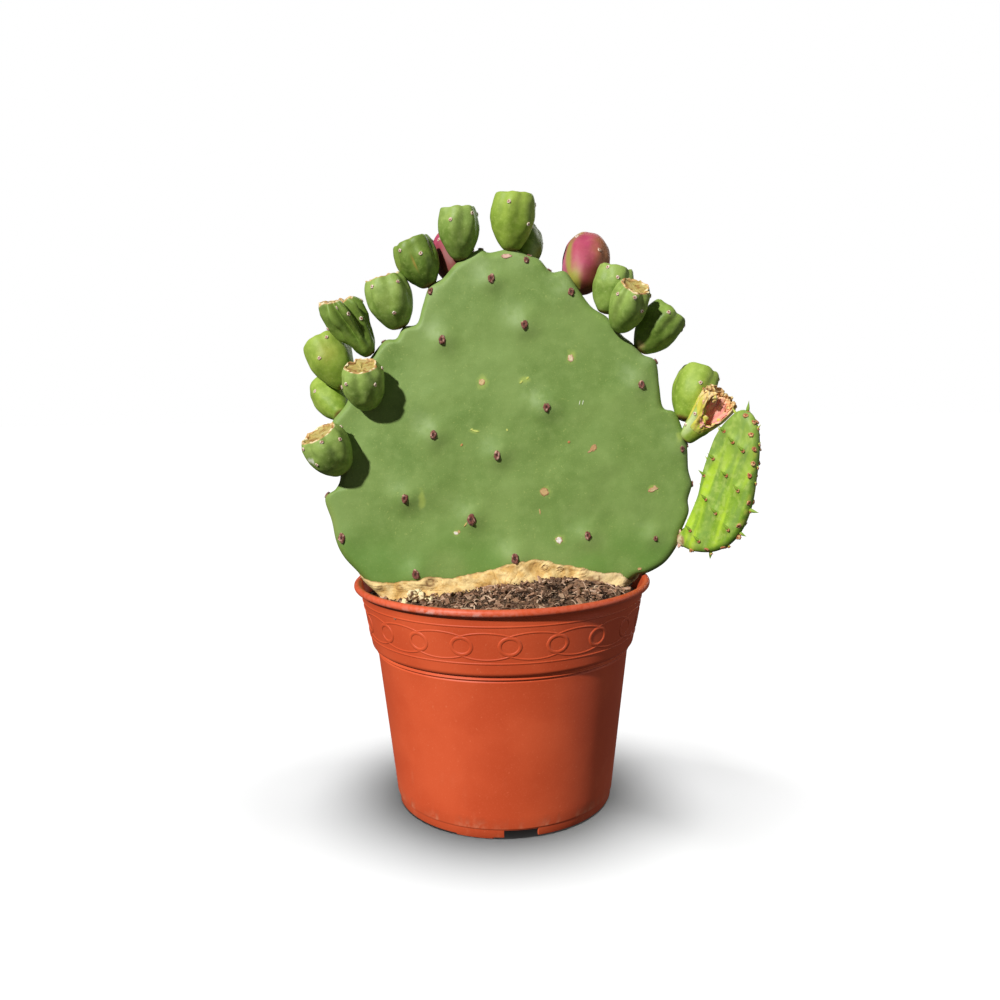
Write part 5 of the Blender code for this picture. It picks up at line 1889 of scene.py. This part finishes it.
@dataclass
class Fruit:
    """One prickly fruit on the edge of the paddle."""

    name: str
    base: Triple
    sway: float
    nod: float
    length: float
    width: float
    rib: float
    crown: Crown
    skin: Skin
    spots: tuple[Pair, ...]
    blushes: tuple[tuple[float, float, float, float, Shade, float], ...] = ()
    slope: float = 0.0
    cuts: tuple[Pair, ...] = ()
    columns: int = 96
    ribs: int = 6
    furrow: float = 0.24
    mound: Pair = (0.8, 3.4)
    wool_size: float = 1.25
    profile: Array = field(init=False)
    turns: Array = field(init=False)
    share: Array = field(init=False)
    crest: int = field(init=False)
    seed: int = field(init=False)

    def __post_init__(self) -> None:
        """Note the bearings and the shares of the length at which its skin is shaped."""
        self.profile = smooth_curve(self.crown.value, 6, False)[1:-1]
        self.share = self.profile[:, :1]
        self.crest = int(np.argmax(self.share))
        self.turns = ring_turns(self.columns)
        self.seed = int(self.length * 7 + self.width * 3)

    @property
    def scarred(self) -> bool:
        """Tell whether it ends in a crumpled tan scar."""
        return self.crown in (Crown.SCARRED, Crown.KNOBBED)

    def axes(self) -> Array:
        """Lay out its own frame from its sway and its nod.

        Returns:
            Its right, back and upward axes, as columns.
        """
        sway, nod = math.radians(self.sway), math.radians(self.nod)
        up = np.array((math.sin(sway) * math.cos(nod), -math.sin(nod),
                       math.cos(sway) * math.cos(nod)))
        front = np.array((0.0, -1.0, 0.0))
        front = unit(front - (front @ up) * up)
        right = np.cross(front, up)
        return np.stack((right if right[0] > 0.0 else -right, -front, up), -1)

    def placed(self, points: Array) -> Array:
        """Put points of its own frame in place."""
        return points @ self.axes().T + self.base

    def all_spots(self) -> list[Pair]:
        """Give the areoles that are placed, and more by the golden angle round the back."""
        more = [(0.4 + 0.11 * index, (100.0 + 137.5 * index) % 160.0 + 100.0)
                for index in range(5)]
        return list(self.spots) + more

    def gap(self, bearing: Any) -> Array:
        """Give how far round the rows' points lie from a bearing in radians."""
        return (self.turns[None] - bearing + math.pi) % math.tau - math.pi

    def grooves(self) -> Array:
        """Cut furrows midway between the ribs, or where they are placed, deeper above.

        Returns:
            How strongly they cut each point.
        """
        draw = np.random.default_rng(self.seed)
        total = np.zeros((len(self.share), self.columns))
        cuts = self.cuts or [(self.spots[0][1] + (index + 0.5 + draw.uniform(-0.16, 0.16))
                              * 360 / self.ribs, draw.uniform(0.4, 1.3))
                             for index in range(self.ribs)]
        for turn, strength in cuts:
            bearing = math.radians(turn) + draw.uniform(-0.3, 0.5) * (self.share - 0.6)
            total += strength * np.exp(-(self.gap(bearing) / self.furrow) ** 2)
        return total * eased(self.share, 0.06, 0.5 if self.cuts else 0.72)

    def shape(self) -> Array:
        """Shape the skin.

        Returns:
            Its rows of points in its own frame.
        """
        share, half, seed = self.share, self.width / 2, self.seed
        reach = np.maximum(self.profile[:, 1:], 0.004) * half
        groove = self.grooves()
        radius = reach * (1.0 + 0.6 * self.rib - 2.4 * self.rib * groove)
        high = share * self.length - min(15.0 * self.rib, 0.7) * groove * eased(share, 0.82, 0.95)
        high += self.slope * share ** 3 * np.sin(self.turns)
        if self.crown is Crown.OVARY:
            torn = np.exp(-(self.gap(math.radians(30.0)) / 1.2) ** 2)
            high = high * (1.0 - 0.5 * torn * eased(share, 0.3, 1.0))
            radius = radius * (1.0 - 0.3 * torn * eased(share, 0.35, 0.9))
        flat = around(radius, self.turns, high)
        rough = (0.4 + 6.0 * self.rib) * lumps(flat, 11.0, seed, 2) + 0.12 * lumps(flat, 3.0, seed)
        for spot_share, spot_turn in self.all_spots():
            gap = self.gap(math.radians(spot_turn)) * half
            beyond = (share - spot_share) * self.length
            beyond = np.where(beyond > 0, beyond, beyond / 3.2)
            rough += self.mound[0] * np.exp(-(gap / self.mound[1]) ** 2
                                            - (beyond / self.mound[1]) ** 2)
        lip = eased(np.arange(len(share)) - self.crest, -4.0, 0.0)[:, None]
        crumple = 0.9 * lumps(flat, 2.4, seed + 5, 2) * lip
        if self.scarred:
            rough += crumple
        rough *= eased(reach / half, 0.05, 0.4)
        dent = crumple if self.scarred else 0.5 * lumps(flat, 5.0, seed + 2, 2) * lip
        return around(radius + rough, self.turns, high + np.minimum(dent, 0.5))

    def stain(self, rows: Array) -> Array:
        """Paint the foot line, the crown's tan edge, the dish and the blushes.

        Args:
            rows: The skin's rows of points.

        Returns:
            The stain of each point.
        """
        share = self.share
        order = np.arange(len(rows))[:, None] - self.crest + 1.6 * lumps(rows, 4.0, 61, 2)
        crumbs = lumps(rows, 2.0, 67, 3)
        layers = [(0.85 * np.exp(-((share - 0.02) / 0.035) ** 2), (116, 62, 42))]
        if self.scarred:
            rim = eased(order, -5.5, -3.0)
            layers += [(rim, (218, 174, 112)), (rim * eased(crumbs, 0.0, 0.4), (252, 234, 190)),
                       (0.9 * eased(order, 3.0, 7.0), (184, 166, 92)),
                       (0.8 * rim * eased(crumbs, -0.2, -0.6), (150, 98, 56))]
        elif self.crown is not Crown.OVARY:
            layers += [(0.75 * np.exp(-(order / 1.7) ** 2) * eased(crumbs, -0.5, 0.3),
                        (208, 176, 98)), (0.45 * eased(order, 1.0, 7.0), (112, 112, 52))]
        ragged = 1.0 + 0.35 * lumps(rows, 5.0, 63, 3)
        for at, turn, high, wide, colour, strength in self.blushes:
            spread = ((share - at) / high) ** 2 + (self.gap(math.radians(turn))
                                                   / math.radians(wide)) ** 2
            layers.append((strength * np.exp(-(spread * ragged) ** 1.5), colour))
        return painted(rows, *layers)

    def build(self) -> None:
        """Build the fruit with its areoles."""
        rows, axes, count = self.shape(), self.axes(), len(self.share)
        stain = self.stain(rows)
        tone = np.repeat(0.35 * eased(self.share, 0.4, 0.9), self.columns, axis=1)
        tips = ((0.0, 0.0, 0.0), (0.0, 0.0, rows[-1, :, 2].mean()))
        form = Form()
        form.add(self.placed(np.concatenate((rows.reshape(-1, 3), tips))),
                 closed_faces(count, self.columns), 0,
                 np.concatenate((stain.reshape(-1, 4), *[stain[-1, :1]] * 2)),
                 np.append(tone, (tone[0, 0], 0.0)))
        for index, (spot_share, spot_turn) in enumerate(self.all_spots()):
            row = int(np.argmin(np.abs(self.share[:self.crest + 1] - spot_share)))
            column = int(round(spot_turn / 360.0 * self.columns)) % self.columns
            here = rows[row, column]
            across = rows[row, (column + 1) % self.columns] - rows[row, column - 1]
            along = rows[min(row + 1, count - 1), column] - rows[row - 1, column]
            normal = unit(np.cross(along, across))
            normal = normal if normal[:2] @ here[:2] > 0.0 else -normal
            FRUIT_WOOL.grow(form, self.placed(here), axes @ normal, self.wool_size,
                            900 + index + int(self.base[0]), 1, 0.65)
        show(form.solid(self.name + "_skin", [self.skin, Skin.WOOL]), self.name)


FRUITS = (
    Fruit("fruit_01", (-105.0, -7.8, 225.4), -27, 21, 33, 30.6, 0.035, Crown.SCARRED,
          Skin.FRUIT, ((0.78, 48), (0.92, 6), (0.55, -36), (0.9, -60)),
          ((0.66, -54, 0.035, 5, (250, 246, 232), 0.9),
           (0.62, -47, 0.05, 4, (250, 246, 232), 0.9))),
    Fruit("fruit_02", (-106.8, 4.8, 262.4), -38, -41, 37.5, 24.5, 0.02, Crown.GREEN,
          Skin.FRUIT_BRIGHT, ((0.6, -20),)),
    Fruit("fruit_03", (-103.2, 4.0, 282.0), -28, -8, 38.5, 30.4, 0.02, Crown.GREEN,
          Skin.FRUIT_BRIGHT, ((0.58, -16), (0.86, 28)),
          ((0.6, 5, 0.2, 25, (196, 176, 84), 0.3),)),
    Fruit("fruit_04", (-85.2, -2.0, 302.9), -30, 12, 42.5, 25.6, 0.19, Crown.KNOBBED,
          Skin.FRUIT_DEEP, ((0.9, -4), (0.75, 16), (0.58, 50), (0.66, -84)), slope=-3.6,
          cuts=((-10, 1.3), (32, 1.2), (78, 1.1), (130, 1.2), (185, 1.2), (240, 1.1), (-58, 0.9))),
    Fruit("fruit_05", (-87.1, -8.2, 268.0), -3, 29, 32, 27.0, 0.055, Crown.SCARRED, Skin.FRUIT,
          ((0.77, -42), (0.7, 40), (0.58, -78))),
    Fruit("fruit_06", (-65.4, 0.0, 320.2), -17, 6, 36, 29.5, 0.04, Crown.SCARRED, Skin.FRUIT,
          ((0.86, -30), (0.79, 36), (0.31, 4))),
    Fruit("fruit_07", (-45.2, 0.0, 347.2), -22, 3, 33, 27.5, 0.05, Crown.GREEN, Skin.FRUIT_DEEP,
          ((0.83, -32), (0.6, 16)), ((0.5, -12, 0.16, 3, (206, 156, 76), 0.6),)),
    Fruit("fruit_08", (-27.8, 6.5, 353.3), -7, -39, 43, 29.0, 0.015, Crown.RIPE, Skin.RIPE,
          ((0.6, -30), (0.75, 40)),
          ((0.16, 0, 0.34, 500, (132, 68, 56), 0.9),
           (0.62, 14, 0.08, 3, (238, 206, 176), 0.7))),
    Fruit("fruit_09", (-23.7, -2.0, 363.6), -3, 7, 34.6, 26.5, 0.03, Crown.GREEN, Skin.FRUIT,
          ((0.72, -18), (0.82, 44))),
    Fruit("fruit_10", (9.0, -1.0, 369.0), 4, 6, 37.5, 29.0, 0.028, Crown.GREEN, Skin.FRUIT_BRIGHT,
          ((0.8, -10), (0.45, 44))),
    Fruit("fruit_11", (18.6, 4.8, 362.2), 1, -45, 34, 25.0, 0.03, Crown.GREEN, Skin.FRUIT_DEEP,
          ((0.7, 20),)),
    Fruit("fruit_12", (55.4, 7.0, 345.2), 14, -35, 46, 32.0, 0.012, Crown.RIPE, Skin.RIPE,
          ((0.73, -36), (0.51, 24)),
          ((0.6, 52, 0.55, 44, (176, 116, 70), 0.95),
           (0.14, 36, 0.26, 46, (112, 40, 36), 0.9),
           (0.34, -26, 0.34, 18, (186, 80, 100), 0.9),
           (0.42, -58, 0.45, 12, (158, 156, 70), 0.9),
           (0.05, -44, 0.17, 36, (160, 160, 64), 0.95),
           (0.84, -40, 0.14, 14, (176, 166, 86), 0.7),
           (0.5, -84, 0.5, 14, (214, 120, 150), 0.8))),
    Fruit("fruit_13", (70.9, 0.5, 328.2), 15, 3, 32, 25.5, 0.05, Crown.GREEN, Skin.FRUIT,
          ((0.73, 4), (0.9, -34))),
    Fruit("fruit_14", (79.3, -5.6, 316.6), 17.5, 34, 34, 24.5, 0.06, Crown.SCARRED, Skin.FRUIT,
          ((0.82, -52), (0.93, 2), (0.65, 44))),
    Fruit("fruit_15", (93.6, 0.5, 303.4), 39, 3, 35, 29.0, 0.04, Crown.GREEN, Skin.FRUIT_DEEP,
          ((0.85, -8), (0.89, 72)), ((0.1, -20, 0.06, 26, (196, 166, 116), 0.8),)),
    Fruit("fruit_16", (123.7, 1.6, 256.6), 23, -13, 39, 28.8, 0.03, Crown.GREEN,
          Skin.FRUIT_BRIGHT, ((0.61, -4), (0.9, 70))),
    Fruit("flower_ovary", (124.5, -2.5, 243.5), 37, 20, 32, 23.0, 0.03, Crown.OVARY,
          Skin.FRUIT_BRIGHT, ((0.3, -62), (0.7, -50)),
          ((0.4, -48, 0.34, 26, (220, 234, 168), 0.85),
           (0.5, 8, 0.3, 26, (186, 196, 70), 0.7))),
)


# ---- the flower


@dataclass
class WitheredFlower:
    """The withered flower: ribbed papery petals round a pink hollow, crumpled at their tips."""

    ovary: Fruit
    reach: tuple[Pair, ...] = ((0.1, 0.48), (0.3, 0.64), (0.5, 0.78), (0.8, 0.95), (1.0, 1.0),
                               (1.15, 0.98), (1.35, 0.8))
    open_at: float = 10.0
    thick: float = 0.4
    foot: float = 0.34
    rim: float = 1.16
    tear: Pair = (0.5, 0.86)
    hollow: float = 0.46
    pleats: float = 13.0

    def radius_at(self, share: Array) -> Array:
        """Give how far the petals stand from the middle at shares of the ovary's length."""
        return looked_up(self.reach, share) * 0.5 * self.ovary.width

    def petal(self, form: Form, turn: float, span: Pair, inset: float,
              draw: np.random.Generator) -> None:
        """Add one ribbed petal with a crumpled tip.

        Args:
            form: The flower's form.
            turn: Its bearing round the ovary in degrees.
            span: Shares of the ovary's length where it starts and ends.
            inset: How near it lies to the middle, 1 for the outer ring.
            draw: The source of chance.
        """
        rows, columns = 24, 11
        along = np.linspace(0.0, 1.0, rows)[:, None]
        across = np.linspace(-1.0, 1.0, columns)[None]
        share = span[0] + (span[1] - span[0]) * along
        radius = self.radius_at(share) * inset
        half = draw.uniform(2.6, 3.8) * (0.5 + 0.5 * np.sin(math.pi * np.minimum(
            along * 0.85 + 0.12, 1.0)))
        side = half * across
        grid = np.stack((side + turn, share * self.ovary.length + 0 * side, 0 * side + inset), -1)
        tip = eased(along, 0.55, 1.0)
        crumple = lumps(grid, 3.2, 71, 3) * (0.2 + 1.2 * tip)
        curl = draw.uniform(-1.2, 4.6) * eased(along, 0.72, 1.0)
        out = (radius + draw.uniform(0.3, 1.3) - 0.05 * side ** 2 - curl + crumple
               + 0.3 * np.cos(2.2 * math.pi * across) * eased(along, 0.0, 0.3))
        high = share * self.ovary.length + 0.9 * lumps(grid, 2.2, 73, 2) * tip
        bearing = (math.radians(turn) + draw.normal(0.0, 0.12) * along
                   + side / np.maximum(radius, 4.0))
        points = np.stack([around(out - inward, bearing, high) for inward in (0.0, self.thick)])
        stain = np.zeros((2, rows, columns, 4))
        shown = np.repeat(share, columns, axis=1)
        edge = eased(np.abs(across) + 0 * shown + 0.4 * crumple, 0.7, 1.0)
        lay_stain(stain[0], 0.95 * eased(shown + 0.15 * crumple, 1.05, 0.75), (214, 214, 110))
        lay_stain(stain[0], 0.4 * edge * eased(shown, 0.5, 0.7), (206, 116, 88))
        lay_stain(stain[1], 0.9 * eased(shown, 1.3, 0.9), (222, 116, 106))
        for sheet in stain:
            lay_stain(sheet, 0.6 * eased(shown + 0.1 * crumple, 1.12, 1.32), (150, 92, 54))
        index = np.arange(rows * columns).reshape(rows, columns)
        loop = np.concatenate((index[0], index[1:, -1], index[-1, -2::-1], index[-2:0:-1, 0]))
        following, size = np.roll(loop, -1), rows * columns
        walls = np.stack((loop, following, following + size, loop + size), -1)
        sheet_faces = band_faces(rows, columns, closed=False)
        form.add(self.ovary.placed(points), [sheet_faces, sheet_faces + size, walls], 0, stain)

    def wall(self, form: Form) -> None:
        """Add the pleated wall, torn open in front over its pink hollow.

        Args:
            form: The flower's form.
        """
        columns, outer, inner = 176, 36, 26
        turns = ring_turns(columns)
        gap = (turns - math.radians(self.open_at) + math.pi) % math.tau - math.pi
        circle = around(1.0, turns, 0.0)
        torn = np.exp(-(gap / self.tear[1]) ** 4)
        rim = self.rim - self.tear[0] * torn + 0.09 * lumps(circle * 9.0, 2.6, 91, 2)
        steps = np.linspace(0.0, 1.0, outer)[:, None]
        depth = np.linspace(0.0, 1.0, inner + 1)[1:, None]
        share = np.concatenate((self.foot + (rim - self.foot) * steps,
                                rim + (self.hollow - rim) * depth))
        inside = np.concatenate((0.0 * steps, depth)) + 0.0 * share
        left = np.exp(-(((turns + 1.1 + math.pi) % math.tau - math.pi) / 0.7) ** 2)
        radius = self.radius_at(share) * (1.0 + 0.16 * left * eased(share, 0.6, 1.1))
        radius = np.where(inside > 0.0, radius * (0.92 - 0.3 * inside), radius)
        flat = around(radius, turns, share * self.ovary.length)
        tip = eased(share, rim - 0.3, rim)
        crumple = lumps(flat, 3.0, 71, 3)
        pleat = np.cos(self.pleats * turns + 2.0 * lumps(flat, 9.0, 77, 2))
        radius += (0.35 + 0.25 * tip) * pleat * eased(share, 0.36, 0.6) + crumple * (0.15 + tip)
        high = share * self.ovary.length + 0.7 * lumps(flat, 2.0, 73, 2) * tip
        points = around(radius, turns, high)
        forward = eased(inside, 0.0, 0.3)
        points[..., 1] *= 1.0 - 0.9 * forward * (points[..., 1] > 0.0)
        points[..., 1] -= 2.6 * forward
        tips = ((0.0, 0.0, high[0].mean()), (0.0, 0.0, high[-1].mean()))
        front = 0.3 * np.exp(-((gap + 1.0) / 1.1) ** 2)
        # Painted shade: a dark red patch high on the outer wall, standing for a small hole's shaded
        # inside.
        dark = np.exp(-((gap - 1.05) / 0.16) ** 2 - ((share - 0.98) / 0.1) ** 2)
        stain = painted(
            points,
            (0.95 * eased(share + 0.1 * crumple, 0.78 + front, 0.62 + front), (216, 208, 76)),
            (0.5 * eased(share, 0.5, 0.36), (158, 186, 84)),
            (0.6 * eased(pleat, -0.4, -0.9) * (inside == 0), (170, 140, 60)),
            (0.95 * eased(inside, 0.02, 0.12), (255, 168, 158)),
            (0.7 * eased(pleat, 0.4, 0.9) * (inside > 0.1), (255, 206, 176)),
            (0.8 * eased(inside, 0.2, 0.06) * (inside > 0), (252, 226, 160)),
            (0.7 * eased(crumple, 0.4, 0.65) * tip, (132, 78, 42)),
            (0.9 * dark * (inside == 0), (96, 34, 28)))
        form.add(self.ovary.placed(np.concatenate((points.reshape(-1, 3), tips))),
                 closed_faces(len(share), columns), 0,
                 np.concatenate((stain.reshape(-1, 4), stain[0, :1], stain[-1, :1])))

    def crumb(self, form: Form, turn: float, share: float, reach: float, sizes: Array,
              stains: Sequence[Shade], seed: int) -> None:
        """Add one shrivelled crumb.

        Args:
            form: The flower's form.
            turn: Its bearing round the ovary in radians.
            share: Its share of the ovary's length.
            reach: How far it stands from the middle in millimetres.
            sizes: Its three half sizes.
            stains: The colours that mottle it.
            seed: Its seed.
        """
        points, faces = dome(12, 6, full=True)
        points = points * sizes
        points = points * (1.0 + 0.35 * lumps(points, 0.9, seed, 2))[..., None]
        place = (math.sin(turn) * reach, -math.cos(turn) * reach, share * self.ovary.length)
        stain = painted(points, *((eased(lumps(points, 1.2, seed + 3 + index), -0.1, 0.4), colour)
                                  for index, colour in enumerate(stains)))
        form.add(self.ovary.placed(points + place), faces, 0, stain)

    def build(self) -> None:
        """Build the flower."""
        form = Form()
        draw = np.random.default_rng(17)
        self.wall(form)
        for turn in range(74, 320, 22):
            self.petal(form, turn + draw.normal(0.0, 4.0), (
                0.72 + draw.uniform(-0.04, 0.08), 1.2 + draw.uniform(-0.12, 0.12)), 0.98, draw)
        for turn in range(95, 300, 29):
            self.petal(form, turn, (0.8, 1.24 + draw.uniform(-0.1, 0.1)), 0.7, draw)
        self.petal(form, 66.0, (0.62, 1.26), 1.0, draw)
        brown, yellow = (140, 84, 46), (214, 204, 84)
        for index in range(52):
            turn, inset = draw.uniform(0.0, math.tau), draw.uniform(0.6, 1.0)
            if math.cos(turn - 0.35) > 0.7:
                continue
            share = draw.uniform(1.08, 1.24) if inset > 0.75 else draw.uniform(0.95, 1.16)
            self.crumb(form, turn, share, inset * 11.5, draw.uniform(0.8, 1.7, 3), (brown,), index)
        for turn, share, size in ((-6, 0.7, 1.9), (54, 0.64, 1.7), (62, 0.8, 1.4),
                                  (-34, 1.14, 1.5)):
            self.crumb(form, math.radians(turn), share, 8.6, np.array((size, size * 0.8, size)),
                       (yellow, yellow), 70 + turn)
        show(form.solid("flower_petals", [Skin.PETAL]), "withered_flower")


# ---- the studio


@dataclass
class Studio:
    """The floor, the lights and the camera."""

    lens: float = 30.93
    sensor: float = 36.0
    floor_reach: float = 12000.0
    eye: Triple = (0.0, -581.952, 271.1505)
    right: Triple = (0.99989275, -0.00082371, -0.01462244)
    up: Triple = (0.01462138, 0.11356074, 0.99342346)
    forward: Triple = (-0.00084224, 0.99353071, -0.11356061)
    suns: tuple[tuple[str, Triple, float, float], ...] = (
        ("key_light", (-0.51, -0.65, 0.56), 4.0, 3.0),
        ("back_light", (0.3, 0.85, 0.42), 0.9, 40.0),
        ("fill_light", (0.92, -0.12, 0.0), 0.72, 60.0),
        ("floor_wash", (0.0, 0.0, 1.0), 3.75, 34.0))
    ambient: float = 0.07

    def sun(self, name: str, source: Triple, power: float, size: float) -> bpy.types.Object:
        """Add a soft distant light.

        Args:
            name: Its name.
            source: The direction that it comes from.
            power: Its strength.
            size: Its angle in degrees.

        Returns:
            The light.
        """
        data = bpy.data.lights.new(name, "SUN")
        data.energy = power
        data.angle = math.radians(size)
        light = bpy.data.objects.new(name, data)
        light.rotation_euler = Vector(source).to_track_quat("Z", "Y").to_euler()
        bpy.context.scene.collection.objects.link(light)
        return light

    def camera(self) -> None:
        """Set the camera at its viewing angle."""
        data = bpy.data.cameras.new("studio_camera")
        data.lens = self.lens
        data.sensor_width = self.sensor
        camera = bpy.data.objects.new("studio_camera", data)
        axes = np.stack((self.right, self.up, -np.array(self.forward)), -1)
        matrix = Matrix(axes.tolist()).to_4x4()
        matrix.translation = Vector(pot_axis() + np.array(self.eye) * MM)
        camera.matrix_world = matrix
        bpy.context.scene.collection.objects.link(camera)
        bpy.context.scene.camera = camera

    def background(self) -> bpy.types.World:
        """Make a background that is white to the camera and lights the pieces softly.

        Returns:
            The world.
        """
        mix, white = Recipe(bpy.data.worlds.new("studio")), (1.0, 1.0, 1.0)
        soft = mix.node("ShaderNodeBackground", {}, {"Color": white, "Strength": self.ambient})
        seen = mix.node("ShaderNodeBackground", {}, {"Color": white})
        ray = mix.node("ShaderNodeLightPath", output="Is Camera Ray")
        both = mix.node("ShaderNodeMixShader", {}, {0: ray, 1: soft, 2: seen})
        mix.node("ShaderNodeOutputWorld", {}, {"Surface": both})
        return mix.owner

    def floor(self) -> bpy.types.Object:
        """Lay the floor.

        Returns:
            The floor.
        """
        form = Form()
        wide = np.linspace(-self.floor_reach, self.floor_reach, 9)
        points = np.stack((*np.meshgrid(wide, wide), np.zeros((9, 9))), -1)
        form.add(points, band_faces(9, 9, closed=False))
        floor = form.solid("studio_floor", [Skin.FLOOR])
        floor.visible_diffuse = False
        floor.visible_glossy = False
        floor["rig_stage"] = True
        return floor

    def build(self) -> None:
        """Set up the floor, the lights, the background and the camera."""
        floor = self.floor()
        *lights, wash = (self.sun(*light) for light in self.suns)
        only_floor = bpy.data.collections.new("floor_only")
        only_floor.objects.link(floor)
        wash.light_linking.receiver_collection = only_floor
        pieces = bpy.data.collections.new("all_pieces")
        for thing in bpy.data.objects:
            if thing.type == "MESH" and not thing.get("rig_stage"):
                pieces.objects.link(thing)
        for light in lights:
            light.light_linking.receiver_collection = pieces
        bpy.context.scene.world = self.background()
        bpy.context.scene.view_settings.view_transform = "Standard"
        self.camera()


def main() -> None:
    """Build every piece, from the pot upwards, then the studio."""
    logging.basicConfig(level=logging.INFO, format="%(message)s")
    paddle = OldPaddle()
    ovary = next(fruit for fruit in FRUITS if fruit.crown is Crown.OVARY)
    for maker in (Pot(), SoilBed(), CorkFoot(paddle), paddle, YoungPaddle(), *FRUITS,
                  WitheredFlower(ovary), Studio()):
        maker.build()


if __name__ == "__main__":
    main()
